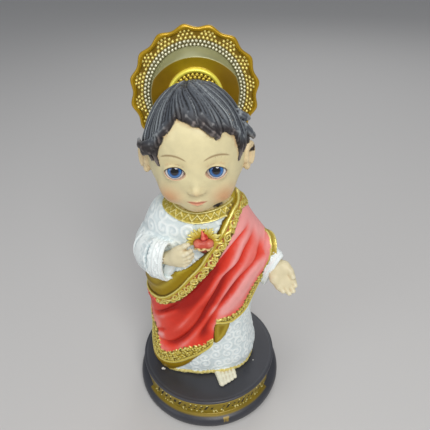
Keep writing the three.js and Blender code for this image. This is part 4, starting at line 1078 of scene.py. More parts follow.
def settle(F):
    """Removes the diagonal touches that would leave an edge shared by four faces."""
    for _ in range(6):
        s = F < 0
        todo = 0
        for ax_ in ((0, 1), (1, 2), (0, 2)):
            def sh(arr, i, j):
                sl = [slice(None)] * 3
                sl[ax_[0]] = slice(1, None) if i else slice(None, -1)
                sl[ax_[1]] = slice(1, None) if j else slice(None, -1)
                return arr[tuple(sl)]
            a, b, c, d = sh(s, 0, 0), sh(s, 1, 1), sh(s, 1, 0), sh(s, 0, 1)
            bad1 = a & b & ~c & ~d
            bad2 = c & d & ~a & ~b
            todo += int(bad1.sum() + bad2.sum())
            if bad1.any():
                sh(F, 1, 0)[bad1] = -0.01
            if bad2.any():
                sh(F, 0, 0)[bad2] = -0.01
        if not todo:
            break
    return F


def nets(F, ax):
    """Closed surface of the field's zero level, as quads."""
    s = F < 0
    c = np.zeros(tuple(np.array(F.shape) - 1), np.uint8)
    for i in (0, 1):
        for j in (0, 1):
            for k in (0, 1):
                c += s[i:F.shape[0] - 1 + i, j:F.shape[1] - 1 + j, k:F.shape[2] - 1 + k]
    mixed = (c > 0) & (c < 8)
    I = np.argwhere(mixed)
    index = np.full(c.shape, -1, np.int32)
    index[mixed] = np.arange(len(I))
    corner = {}
    for i in (0, 1):
        for j in (0, 1):
            for k in (0, 1):
                corner[(i, j, k)] = F[I[:, 0] + i, I[:, 1] + j, I[:, 2] + k]
    total = np.zeros((len(I), 3))
    count = np.zeros(len(I))
    keys = list(corner)
    for p in keys:
        for axis in range(3):
            if p[axis] == 1:
                continue
            q = list(p)
            q[axis] = 1
            q = tuple(q)
            va, vb = corner[p], corner[q]
            m = (va < 0) != (vb < 0)
            t = va[m] / (va[m] - vb[m])
            at = np.tile(np.array(p, float), (m.sum(), 1))
            at[:, axis] += t
            total[m] += at
            count[m] += 1
    V = I + total / count[:, None]
    V = np.stack([ax[k][0] + V[:, k] * (ax[k][1] - ax[k][0]) for k in range(3)], -1)
    quads = []
    for axis in range(3):
        sl0, sl1 = [slice(None)] * 3, [slice(None)] * 3
        sl0[axis], sl1[axis] = slice(None, -1), slice(1, None)
        a, b = s[tuple(sl0)], s[tuple(sl1)]
        o1, o2 = [(1, 2), (2, 0), (0, 1)][axis]
        for sign in (0, 1):
            E = np.argwhere((a & ~b) if sign == 0 else (~a & b))
            E = E[(E[:, o1] > 0) & (E[:, o2] > 0)]
            def at(d1, d2):
                q = E.copy()
                q[:, o1] -= d1
                q[:, o2] -= d2
                return index[q[:, 0], q[:, 1], q[:, 2]]
            ring = [at(1, 1), at(0, 1), at(0, 0), at(1, 0)]
            if sign:
                ring = ring[::-1]
            quads.append(np.stack(ring, -1))
    return V, np.vstack(quads)


def mesh_from(name, V, faces):
    """New mesh object from millimetre points and equal-sided faces."""
    me = bpy.data.meshes.new(name)
    n, k = faces.shape
    me.vertices.add(len(V))
    me.vertices.foreach_set("co", (np.asarray(V, np.float64) * MM).astype(np.float32).ravel())
    me.loops.add(n * k)
    me.loops.foreach_set("vertex_index", faces.astype(np.int32).ravel())
    me.polygons.add(n)
    me.polygons.foreach_set("loop_start", np.arange(0, n * k, k, dtype=np.int32))
    me.polygons.foreach_set("use_smooth", np.ones(n, bool))
    me.update(calc_edges=True)
    me.validate()
    ob = bpy.data.objects.new(name, me)
    bpy.context.scene.collection.objects.link(ob)
    return ob


def mesh_arrays(me):
    V = np.empty(len(me.vertices) * 3, np.float32)
    me.vertices.foreach_get("co", V)
    me.calc_loop_triangles()
    T = np.empty(len(me.loop_triangles) * 3, np.int32)
    me.loop_triangles.foreach_get("vertices", T)
    return V.reshape(-1, 3).astype(float) / MM, T.reshape(-1, 3)


def decimated(V, Q, keep):
    ob = mesh_from("tmp_dense", V, Q)
    have = len(Q) * 2
    mod = ob.modifiers.new("d", "DECIMATE")
    mod.ratio = min(1.0, keep / have)
    mod.use_collapse_triangulate = True
    dg = bpy.context.evaluated_depsgraph_get()
    me = bpy.data.meshes.new_from_object(ob.evaluated_get(dg))
    V, T = mesh_arrays(me)
    bpy.data.objects.remove(ob)
    bpy.data.meshes.remove(me)
    return V, T


def refine(V, T, marks):
    """Splits the marked edges, keeping the surface closed. marks(mid, length, a, b) says which."""
    E = np.sort(T[:, [[0, 1], [1, 2], [2, 0]]].reshape(-1, 2), axis=1)
    key = E[:, 0].astype(np.int64) * len(V) + E[:, 1]
    uk, inv = np.unique(key, return_inverse=True)
    a, b = (uk // len(V)).astype(int), (uk % len(V)).astype(int)
    mid = (V[a] + V[b]) / 2
    m = marks(mid, np.linalg.norm(V[a] - V[b], axis=1), a, b)
    new = np.full(len(uk), -1, np.int64)
    new[m] = len(V) + np.arange(m.sum())
    V2 = np.vstack([V, mid[m]])
    M = new[inv].reshape(-1, 3)
    n = (M >= 0).sum(1)
    out = [T[n == 0]]
    for k in range(3):                     # one edge split
        s = (n == 1) & (M[:, k] >= 0)
        t, q = np.roll(T[s], -k, axis=1), M[s, k]
        out += [np.stack([t[:, 0], q, t[:, 2]], -1), np.stack([q, t[:, 1], t[:, 2]], -1)]
    for k in range(3):                     # two edges split, k is the whole one
        s = (n == 2) & (M[:, k] < 0)
        t, q = np.roll(T[s], -k, axis=1), np.roll(M[s], -k, axis=1)
        q1, q2 = q[:, 1], q[:, 2]
        out += [np.stack([q1, t[:, 2], q2], -1), np.stack([t[:, 0], t[:, 1], q1], -1), np.stack([t[:, 0], q1, q2], -1)]
    s = n == 3
    t, q = T[s], M[s]
    out += [np.stack([t[:, 0], q[:, 0], q[:, 2]], -1), np.stack([q[:, 0], t[:, 1], q[:, 1]], -1),
            np.stack([q[:, 2], q[:, 1], t[:, 2]], -1), q]
    return V2, np.vstack(out).astype(np.int64)


def onto_surface(V, rounds=2, limit=0.16):
    """Moves points to the field's zero level."""
    for _ in range(rounds):
        e = 0.05
        k = np.array([[1, -1, -1], [-1, -1, 1], [-1, 1, -1], [1, 1, 1]], float)
        vals = [field(V + e * d) for d in k]
        g = sum(v[:, None] * d for v, d in zip(vals, k)) / (4 * e)
        f = sum(vals) / 4
        gn = np.linalg.norm(g, axis=1)
        s = f / np.maximum(gn, 0.35) ** 2
        move = -g * s[:, None]
        L = np.linalg.norm(move, axis=1)
        move *= np.minimum(1, limit / np.maximum(L, 1e-9))[:, None]
        flat = np.abs(V[:, 2] - FOOT_Z) < 0.02
        move[flat, 2] = 0
        V = V + move
        V[:, 2] = np.maximum(V[:, 2], FOOT_Z)
    return V


def blurred(F, h, r):
    """Mean of the field over a cube of half side r."""
    G = np.clip(F, -1.6, 1.6)
    w = max(1, int(round(r / h)))
    for axis in range(3):
        c = np.cumsum(G, axis=axis, dtype=np.float64)
        c = np.concatenate([np.zeros_like(np.take(c, [0], axis)), c], axis)
        n = F.shape[axis]
        hi_ = np.clip(np.arange(n) + w + 1, 0, n)
        lo_ = np.clip(np.arange(n) - w, 0, n)
        shape = [1, 1, 1]
        shape[axis] = n
        G = (np.take(c, hi_, axis) - np.take(c, lo_, axis)) / (hi_ - lo_).reshape(shape)
    return G.astype(np.float32)


def trilinear(G, ax, P):
    q = [(P[:, k] - ax[k][0]) / (ax[k][1] - ax[k][0]) for k in range(3)]
    i = [np.clip(v.astype(int), 0, G.shape[k] - 2) for k, v in enumerate(q)]
    f = [v - j for v, j in zip(q, i)]
    out = 0
    for a in (0, 1):
        for b in (0, 1):
            for c in (0, 1):
                w = (f[0] if a else 1 - f[0]) * (f[1] if b else 1 - f[1]) * (f[2] if c else 1 - f[2])
                out = out + w * G[i[0] + a, i[1] + b, i[2] + c]
    return out


# ---------------------------------------------------------------- paint of the figure
def nearest_part(P):
    names = sorted({p[0] for p in PARTS})
    best = np.full(len(P), 9.0)
    which = np.zeros(len(P), int)
    for name, (a, b), f, k in PARTS:
        m = np.all((P >= np.array(a) - 0.0) & (P <= np.array(b) + 0.0), axis=1)
        if not m.any():
            continue
        q = P[m]
        v = f(q[:, 0], q[:, 1], q[:, 2])
        if name == "hair":
            v = v - 0.05
        old = best[m]
        win = v < old
        best[m] = np.where(win, v, old)
        w = which[m]
        w[win] = names.index(name)
        which[m] = w
    return np.array(names)[which]


def lerp3(a, b, t):
    return a * (1 - t[:, None]) + b * t[:, None]


def spot(P, c, r, seed=0.0):
    d = np.sqrt(((P - np.array(c)) ** 2).sum(1))
    wob = 1 + 0.22 * np.sin(P[:, 0] * 5.1 + seed) + 0.18 * np.sin(P[:, 2] * 6.3 + 2 * seed)
    return 1 - ease(r * 0.85, r * 1.1, d / wob)


def NECK_SMEAR(th, r, z):
    """Dark smear on the neck, beside the collar."""
    return ease(1.25, 0.75, np.hypot((th - 41) / 10.0, (z - 81.6) / 1.0) + 0.12 * np.sin(th * 0.7)) * (z < 84)


def paint(P, conv, conv2):
    """Colour, roughness and metal of the figure at points. conv is positive on fine ridges, conv2 on broad ones."""
    part = nearest_part(P)
    th, r = body_coords(P[:, 0], P[:, 1], P[:, 2])
    z = P[:, 2]
    col = np.zeros((len(P), 3))
    rough = np.full(len(P), 0.55)
    metal = np.zeros(len(P))
    # two masks from the convexity: ridge, used below as painted highlight on raised places, and the hollow mask, used
    # as painted shade in hollows
    ridge, hollow_shade = ease(0.03, 0.16, conv), ease(-0.03, -0.17, conv)

    GOLD, GOLD_HIGHLIGHT, GOLD_SHADE = srgb(204, 178, 56), srgb(255, 246, 160), srgb(92, 64, 4)
    OLIVE = srgb(166, 136, 0)
    WHITE, WHITE_SHADE = srgb(245, 252, 251), srgb(198, 213, 217)
    SKIN, BLUSH = srgb(232, 220, 174), srgb(220, 156, 108)
    CREAM, FOOT = srgb(222, 210, 174), srgb(234, 231, 208)

    def gold(m, base=GOLD, dark=GOLD_SHADE, hi=GOLD_HIGHLIGHT):
        # gold paint, darkened in hollows as painted shade and lightened on ridges as painted highlight
        c = np.tile(base, (m.sum(), 1))
        c = lerp3(c, dark, hollow_shade[m] * 0.92)
        c = lerp3(c, hi, ridge[m] * 0.75)
        col[m] = c
        rough[m] = 0.40 - 0.06 * ridge[m] + 0.12 * hollow_shade[m]
        metal[m] = 0.40 - 0.2 * hollow_shade[m]

    def white(m, relief=None):
        # white paint with painted shade in hollows and in the ground between the embossed scrolls, and painted
        # highlight on ridges
        c = np.tile(WHITE, (m.sum(), 1))
        lo_t = np.clip(hollow_shade[m] * 0.8, 0, 1)
        if relief is not None:
            lo_t = np.maximum(lo_t, ease(0.34, 0.04, relief) * 0.60)
        c = lerp3(c, WHITE_SHADE, lo_t)
        c = lerp3(c, srgb(246, 249, 248), ridge[m] * 0.5)
        col[m] = c
        rough[m] = 0.5

    body = part == "body"
    dp, dh = sample(DP, th, z), sample(DH, th, z)
    tn, cr = sample(tone, th, z), sample(CORNER, th, z)
    collar_lo, collar_hi = sample(COL_LO, th, z), sample(COL_HI, th, z)
    trim_o, hem_o = sample(ORN_TRIM, th, z), sample(ORN_HEM, th, z)
    white(body, sample(EMBOSS, th[body], z[body]))
    # lower edge of the robe
    edge_z = sample(hem_gold, th, z)
    m = body & (z < edge_z + 0.08 * np.sin(np.radians(th * 11)) + 0.05)
    gold(m, srgb(222, 204, 120), srgb(206, 186, 100), srgb(240, 228, 160))
    metal[m] = 0.05
    rough[m] = 0.45
    m = body & (z > collar_hi)
    col[m] = srgb(224, 208, 160)
    m = body & (z > collar_hi - 0.1)
    col[m] = lerp3(col[m], srgb(36, 28, 28), NECK_SMEAR(th[m], r[m], z[m]))
    m = body & (z > collar_lo) & (z < collar_hi)
    gold(m)
    co = sample(ORN_COLLAR, th[m], z[m])
    # collar: painted shade in its hollows and painted highlight on the raised zigzag, dots and borders
    col[m] = lerp3(np.tile(srgb(190, 170, 66), (m.sum(), 1)), srgb(128, 104, 26), hollow_shade[m] * 0.6)
    col[m] = lerp3(col[m], srgb(250, 244, 178), ease(0.45, 0.95, co) * 0.75)
    metal[m] = 0.3
    m = body & (dp <= 0) & (z < MANTLE_TOP(th) + 0.05) & (z > PIPING(th) - 0.6)
    gold(m, OLIVE, srgb(74, 54, 2), srgb(206, 182, 66))
    # painted highlight along the lining's folds, and a band of painted shade between them
    lining_highlight = bell(dp[m] + 2.6 - 0.018 * th[m], 0.75) * 0.55 + bell(dp[m] + 6.2, 0.9) * 0.35
    col[m] = lerp3(col[m], srgb(214, 192, 72), lining_highlight * ease(-95, -60, th[m]))
    col[m] = lerp3(col[m], srgb(84, 62, 0), bell(dp[m] + 4.6, 0.8) * 0.35)
    white(body & (sample(FLAP, th, z) > -0.08))
    m = body & (cr > -0.05) & (dh < 0.25)
    gold(m, srgb(166, 138, 22), srgb(84, 62, 2), srgb(206, 178, 62))
    # folded-back corner: painted highlight along its roll, painted shade in a band inside it and on its left strip
    col[m] = lerp3(col[m], srgb(216, 194, 78), 0.5 * bell(cr[m] - 1.5, 0.55) * ease(19, 24, th[m]))
    col[m] = lerp3(col[m], srgb(96, 72, 0), 0.35 * bell(cr[m] - 2.9, 0.6))
    corner_shade_strip = m & (th < 18.6)
    col[corner_shade_strip] = lerp3(col[corner_shade_strip], srgb(64, 42, 6), np.full(corner_shade_strip.sum(), 0.6))
    # underside of the mantle's hem: painted a darker gold as painted shade
    m = body & (sample(UNDERSIDE.astype(np.float32), th, z) > 0.5) & (cr < 0.05) & (dh < 0.2)
    gold(m, srgb(178, 142, 12), srgb(90, 64, 2), srgb(222, 190, 60))
    # cloth: one red paint, with painted shade in the fold valleys and in a patch low on the front, and painted
    # highlight on the ridges, on broad swells and towards the upper right and lower left
    m = body & (dp > 0) & (dh > 0)
    deep, mid, bright, pale = srgb(162, 20, 4), srgb(218, 50, 28), srgb(234, 80, 62), srgb(246, 166, 162)
    q = tn[m]
    tm, zm = th[m], z[m]
    lit_up_right = ease(-6, 62, tm) * 0.30 + 0.17 * ease(60, 74, zm) + 0.25 * ease(66, 82, tm) * ease(52, 66, zm)
    lit_low_left = 0.26 * bell(dh[m] - 6.4, 2.6) + 0.28 * ease(-38, -66, tm)
    t = 0.40 + 0.50 * q + lit_up_right + lit_low_left - 0.30 * bell(zm - 49, 12) * bell(tm + 16, 24) + conv2[m] * 0.30
    # painted shadow just below the upper trim towards the front and left, and painted highlight there towards the right
    t = t - 0.22 * bell(dp[m] - 5.0, 2.2) * ease(30, 0, tm) + 0.16 * bell(dp[m] - 4.4, 1.2) * ease(20, 50, tm)
    t = np.clip(t, 0, 1.05)
    c = np.where((t < 0.35)[:, None], lerp3(np.tile(deep, (len(t), 1)), mid, np.clip(t / 0.35, 0, 1)),
                 np.where((t < 0.65)[:, None], lerp3(np.tile(mid, (len(t), 1)), bright, np.clip((t - 0.35) / 0.3, 0, 1)),
                          lerp3(np.tile(bright, (len(t), 1)), pale, np.clip((t - 0.65) / 0.38, 0, 1))))
    col[m] = c
    rough[m] = 0.46
    # trims
    hi_v, bd_v, tr_v, pl_v = sample(TRIM_HI, th, z), HEM_BORDER, sample(HEM_TRIM, th, z), sample(PLAIN, th, z)
    thin = ease(-60, -66, th) * (th < 0) * (th > -110)
    m = body & (dp > 0) & (dh > 0) & (dp < mix(hi_v, PIPE_W, thin) + 0.05) & (dh > 0.9)
    gold(m)
    mm = m & (dp > PIPE_W)
    # between the ornaments: pinkish red paint, turning to dark brown painted shade away from the piping; the raised
    # ornaments get painted highlight
    gap = ease(0.42, 0.05, trim_o[mm])
    share = (dp[mm] - PIPE_W) / (hi_v[mm] - PIPE_W)
    pink_ground_and_shade = lerp3(np.tile(srgb(176, 84, 66), (mm.sum(), 1)), srgb(66, 42, 12), ease(0.35, 0.85, share + 0.15 * np.sin(th[mm] * 0.8)))
    col[mm] = lerp3(col[mm], pink_ground_and_shade, gap * 0.85)
    col[mm] = lerp3(col[mm], srgb(244, 232, 150), ease(0.62, 0.95, trim_o[mm]) * 0.65)
    metal[mm] *= 1 - gap * 0.6
    dt = sample(D_TRIM, th, z)
    m = body & (dh > 0) & (dt < tr_v + 0.03) & (dp > 0) & (pl_v < 0.5)
    gold(m)
    # hem trim: painted highlight on its rounded border, painted shade in the gaps between the flowers, painted
    # highlight on the raised flowers and beads
    brim = m & (dt < bd_v)
    col[brim] = lerp3(col[brim], srgb(236, 220, 118), np.full(brim.sum(), 0.45))
    mm = m & (dt > bd_v)
    gap = ease(0.34, 0.05, hem_o[mm])
    col[mm] = lerp3(col[mm], srgb(70, 48, 10), gap * 0.85)
    col[mm] = lerp3(col[mm], srgb(250, 240, 150), ease(0.45, 0.85, hem_o[mm]) * 0.75)
    metal[mm] *= 1 - gap * 0.6

    for name, rings_ in (("sleeve_l", L_RINGS), ("sleeve_r", R_RINGS)):
        m = part == name
        back, ang, kk, a_, b_ = sleeve_coords(rings_[-1], P[m, 0], P[m, 1], P[m, 2])
        white(m, np.where(back > 4.2, np.maximum(sleeve_emboss(back, ang), ease(8.0, 10.0, back)), 1.0))
    m = part == "mantle_r"
    if m.any():
        back, ang, kk, a_, b_ = sleeve_coords(M_RINGS[-1], P[m, 0], P[m, 1], P[m, 2])
        idx = np.where(m)[0]
        edge_m = np.zeros(len(P), bool)
        edge_m[idx[back < 2.4]] = True
        rest = np.zeros(len(P), bool)
        rest[idx[back >= 2.4]] = True
        gold(edge_m, srgb(196, 168, 58))
        # painted highlight on the broad ridges, and lighter in a band just behind the gold edge
        tt = np.clip(0.42 + 0.5 * conv2[rest] + 0.30 * bell(back[back >= 2.4] - 3.2, 1.2), 0, 1)
        col[rest] = lerp3(np.tile(srgb(214, 76, 68), (rest.sum(), 1)), srgb(238, 154, 150), tt)
        rough[rest] = 0.46
    for name in ("hand_l", "hand_r", "foot"):
        m = part == name
        c = np.tile(FOOT if name == "foot" else CREAM, (m.sum(), 1))
        # painted shade in the creases and painted highlight on raised places
        c = lerp3(c, srgb(186, 150, 104), hollow_shade[m] * 0.8)
        col[m] = lerp3(c, srgb(244, 238, 212), ridge[m] * 0.5)
        rough[m] = 0.42
    m = part == "rays"
    gold(m, srgb(212, 184, 60), srgb(110, 84, 10), srgb(252, 244, 160))
    m = part == "heart"
    # heart, flame and garland: painted shade in hollows and painted highlight on ridges; the heart is also darker
    # towards its bottom
    c = np.tile(srgb(204, 84, 66), (m.sum(), 1))
    c = lerp3(c, srgb(240, 150, 128), ridge[m])
    c = lerp3(c, srgb(88, 14, 10), np.clip(hollow_shade[m] + ease(70.9, 69.4, P[m, 2]), 0, 1))
    col[m] = c
    rough[m] = 0.36
    m = part == "flame"
    c = lerp3(np.tile(srgb(196, 40, 36), (m.sum(), 1)), srgb(240, 120, 100), ridge[m])
    col[m] = lerp3(c, srgb(110, 14, 10), hollow_shade[m])
    rough[m] = 0.38
    m = part == "garland"
    c = lerp3(np.tile(srgb(196, 158, 88), (m.sum(), 1)), srgb(236, 208, 150), ridge[m])
    c = lerp3(c, srgb(120, 70, 34), hollow_shade[m] * 0.7)
    col[m] = c
    metal[m] = 0.25
    # skin
    m = (part == "skin") | (part == "skin_ear") | (part == "skin_ear2") | (part == "skin_neck")
    q = P[m]
    fx, fz = q[:, 0] - X0, q[:, 2]
    front = ease(-6, -10, q[:, 1])
    c = np.tile(SKIN, (len(q), 1))
    cheek = bell(np.hypot(np.abs(fx) - 7.4, (fz - 88.2) * 0.95), 3.1) * front
    c = lerp3(c, BLUSH, np.clip(cheek * 0.78, 0, 1))
    c = lerp3(c, srgb(230, 188, 140), 0.45 * bell(np.hypot(fx, fz - 83.4), 2.4) * front)
    # painted shade round the nose's underside and over the upper lids below the brows
    c = lerp3(c, srgb(228, 184, 132), 0.45 * bell(np.hypot(fx, fz - 90.6), 1.4) * front)
    c = lerp3(c, srgb(214, 190, 132), 0.40 * bell(np.abs(fz - 99.2), 1.4) * bell(np.abs(fx) - 5.3, 3.6) * front)
    c = lerp3(c, srgb(200, 160, 112), 0.80 * hollow_shade[m])
    # painted shade towards the underside of the jaw
    jaw_underside_shade = ease(85.0, 81.0, fz)
    c = lerp3(c, srgb(212, 184, 136), 0.45 * jaw_underside_shade)
    near_up, near_lo = f_lip_up(q[:, 0], q[:, 1], q[:, 2]), f_lip_lo(q[:, 0], q[:, 1], q[:, 2])
    ax = np.abs(fx)
    mid_lip = 86.92 + 0.050 * ax ** 2
    top_lip = mid_lip + 0.66 * np.clip(1 - (ax / 2.9) ** 2, 0, 1) - 0.14 * bell(ax, 0.35)
    low_lip = mid_lip - 0.82 * np.clip(1 - (ax / 2.5) ** 2, 0, 1)
    lips = 0.8 * ease(0.22, -0.22, np.maximum(fz - top_lip, low_lip - fz)) * ease(3.0, 2.2, ax) * (q[:, 1] < -11.5)
    lip_col = lerp3(np.tile(srgb(224, 150, 122), (len(q), 1)), srgb(212, 118, 96), ease(0.62, 0.05, np.abs(fz - mid_lip)))
    c = c * (1 - lips[:, None]) + lip_col * lips[:, None]
    seam = ease(0.26, 0.06, np.abs(fz - mid_lip)) * ease(3.0, 2.5, ax) * (q[:, 1] < -11.5)
    c = lerp3(c, srgb(170, 84, 66), seam * 0.5)
    for side, ex in zip((-1, 1), EY):
        a = almond(q[:, 0], q[:, 2], ex)
        near_eye = (q[:, 1] < EYE_Y) & (np.abs(a) < 1.2)
        upper = ease(EYE_Z - 0.3, EYE_Z + 0.9, fz)
        lash = ease(0.30, 0.14, np.abs(a - 0.02)) * near_eye * upper
        c = lerp3(c, srgb(58, 34, 26), lash * 0.95)
        lower = ease(0.26, 0.10, np.abs(a)) * near_eye * (1 - upper)
        c = lerp3(c, srgb(214, 160, 134), lower * 0.7)
        crease = ease(0.22, 0.05, np.abs(a - 0.95)) * near_eye * upper * ease(3.0, 1.8, np.abs(q[:, 0] - ex))
        c = lerp3(c, srgb(196, 150, 116), crease * 0.45)
        # brow: one thin arched stroke
        bo, bl = brow_off(q[:, 0], fz, ex, side)
        wid = mix(0.16, 0.32, ease(3.4, 1.2, bl))
        brow = ease(wid + 0.14, 0.02, np.abs(bo)) * ease(3.6, 2.6, bl) * (q[:, 1] < -9)
        c = lerp3(c, srgb(140, 104, 64), brow * 0.78)
    for side in (-1, 1):
        nd = np.sqrt((fx - 0.72 * side) ** 2 + (fz - 90.0) ** 2 + (q[:, 1] + 16.4) ** 2)
        c = lerp3(c, srgb(150, 92, 66), ease(0.55, 0.25, nd) * 0.75)
    under_ear = (part[m] == "skin_ear") | (part[m] == "skin_ear2")
    c = np.where(under_ear[:, None], lerp3(c, srgb(236, 196, 160), np.full(len(q), 0.35)), c)
    c = lerp3(c, srgb(44, 30, 24), spot(q, EAR_SPOT, 1.0, 1.0))
    c = lerp3(c, srgb(36, 28, 28), NECK_SMEAR(*body_coords(q[:, 0], q[:, 1], q[:, 2]), fz))
    for cc, rr in CHIPS:
        c = lerp3(c, srgb(236, 172, 124), spot(q, cc, rr, 3.0))
    col[m] = c
    rough[m] = 0.40
    # hair
    m = part == "hair"
    q = P[m]
    az = np.degrees(np.arctan2(q[:, 0] - HEAD[0], -(q[:, 1] - HEAD[1])))
    above = q[:, 2] - HAIRLINE(az)
    psi, tq, al = hair_chart(q[:, 0], q[:, 1], q[:, 2])
    fine, broad, f3, n3 = strands(psi, tq)
    level = mix(0.55, fine, ease(0.03, 0.30, tq)) * (0.70 + 0.30 * mix(1.0, broad, ease(0.1, 0.5, tq)))
    curl = f_cap(q[:, 0], q[:, 1], q[:, 2]) > 0.16
    level = np.where(curl, 0.48 + 0.5 * ridge[m] - 0.5 * hollow_shade[m], level)
    tip = ease(3.4, 0.4, above) * ease(125, 95, np.abs(az))
    # darker in the grooves between strands as painted shade; the lit lines on the strand crests below are painted
    # highlight
    c = lerp3(np.tile(srgb(22, 22, 26), (len(q), 1)), srgb(82, 87, 94), ease(0.14, 0.54, level))
    f1, n1 = banded(psi, FINE_B)
    f2, n2 = banded(psi, MID_B)
    own = np.where(curl, 0.38, mix(hashed(n2, 7.0, 8), hashed(n1, 7.0, 8), ease(0.36, 0.62, tq)))
    lit = ease(0.58, 0.93, level) * (0.20 + 0.80 * own ** 1.3)
    c = lerp3(c, srgb(196, 204, 206), lit)
    # fringe tips: brown-black paint, darker in the grooves as painted shade, with painted highlight on the crests
    warm = lerp3(np.tile(srgb(18, 12, 10), (len(q), 1)), srgb(50, 39, 36), ease(0.20, 0.75, level))
    warm = lerp3(warm, srgb(142, 126, 120), ease(0.76, 0.99, level) * 0.65)
    c = lerp3(c, warm, tip * 0.85)
    c = lerp3(c, srgb(16, 13, 14), np.clip(hollow_shade[m] * 0.6, 0, 1))
    col[m] = c
    rough[m] = 0.42
    return col, rough, metal, part


EAR_SPOT = [14.4, -3.2, 97.5]
CHIPS = [([0.6, -14.29, 106.71], 0.52), ([3.44, -14.06, 105.49], 0.40)]


# ---------------------------------------------------------------- materials
def attribute(me, name, kind, values):
    a = me.attributes.new(name, kind, "POINT")
    if kind == "FLOAT_COLOR":
        full = np.ones((len(values), 4), np.float32)
        full[:, :3] = values
        a.data.foreach_set("color", full.ravel())
    else:
        a.data.foreach_set("value", np.asarray(values, np.float32))


def painted(name, bump_mm, noise_scale, spread=0.06, coat=0.0, coat_rough=0.2, spec=0.5, fine=0.0):
    """Material that takes colour, roughness and metal from the mesh, with uneven brush tone and a fine bump."""
    mat = bpy.data.materials.new(name)
    mat.use_nodes = True
    nt = mat.node_tree
    nt.nodes.clear()
    out = nt.nodes.new("ShaderNodeOutputMaterial")
    sh = nt.nodes.new("ShaderNodeBsdfPrincipled")
    nt.links.new(sh.outputs[0], out.inputs[0])
    sh.inputs["Coat Weight"].default_value = coat
    sh.inputs["Coat Roughness"].default_value = coat_rough
    sh.inputs["Specular IOR Level"].default_value = spec
    tc = nt.nodes.new("ShaderNodeTexCoord")
    col = nt.nodes.new("ShaderNodeAttribute")
    col.attribute_name = "paint"
    ns = nt.nodes.new("ShaderNodeTexNoise")
    ns.inputs["Scale"].default_value = noise_scale
    ns.inputs["Detail"].default_value = 5
    nt.links.new(tc.outputs["Object"], ns.inputs["Vector"])
    mr = nt.nodes.new("ShaderNodeMapRange")
    mr.inputs["From Min"].default_value = 0.3
    mr.inputs["From Max"].default_value = 0.7
    mr.inputs["To Min"].default_value = 1 - spread
    mr.inputs["To Max"].default_value = 1 + spread
    nt.links.new(ns.outputs["Fac"], mr.inputs["Value"])
    mul = nt.nodes.new("ShaderNodeMix")
    mul.data_type = "RGBA"
    mul.blend_type = "MULTIPLY"
    mul.inputs["Factor"].default_value = 1.0
    nt.links.new(col.outputs["Color"], mul.inputs["A"])
    nt.links.new(mr.outputs["Result"], mul.inputs["B"])
    nt.links.new(mul.outputs["Result"], sh.inputs["Base Color"])
    ra = nt.nodes.new("ShaderNodeAttribute")
    ra.attribute_name = "rough"
    add = nt.nodes.new("ShaderNodeMath")
    add.operation = "MULTIPLY"
    nt.links.new(ra.outputs["Fac"], add.inputs[0])
    nt.links.new(mr.outputs["Result"], add.inputs[1])
    nt.links.new(add.outputs[0], sh.inputs["Roughness"])
    me_ = nt.nodes.new("ShaderNodeAttribute")
    me_.attribute_name = "metal"
    nt.links.new(me_.outputs["Fac"], sh.inputs["Metallic"])
    n2 = nt.nodes.new("ShaderNodeTexNoise")
    n2.inputs["Scale"].default_value = noise_scale * 5
    n2.inputs["Detail"].default_value = 4
    nt.links.new(tc.outputs["Object"], n2.inputs["Vector"])
    bp = nt.nodes.new("ShaderNodeBump")
    bp.inputs["Strength"].default_value = 0.6
    bp.inputs["Distance"].default_value = bump_mm * MM
    nt.links.new(n2.outputs["Fac"], bp.inputs["Height"])
    nt.links.new(bp.outputs["Normal"], sh.inputs["Normal"])
    return mat


# ---------------------------------------------------------------- build the figure
F, AX = grid_field(VOXEL)
F = settle(F)
V, Q = nets(F, AX)
conv_a, conv_b = blurred(F, VOXEL, 0.62), blurred(F, VOXEL, 1.5)
V, T = decimated(V, Q, KEEP_TRIS)
V = onto_surface(V, 1)


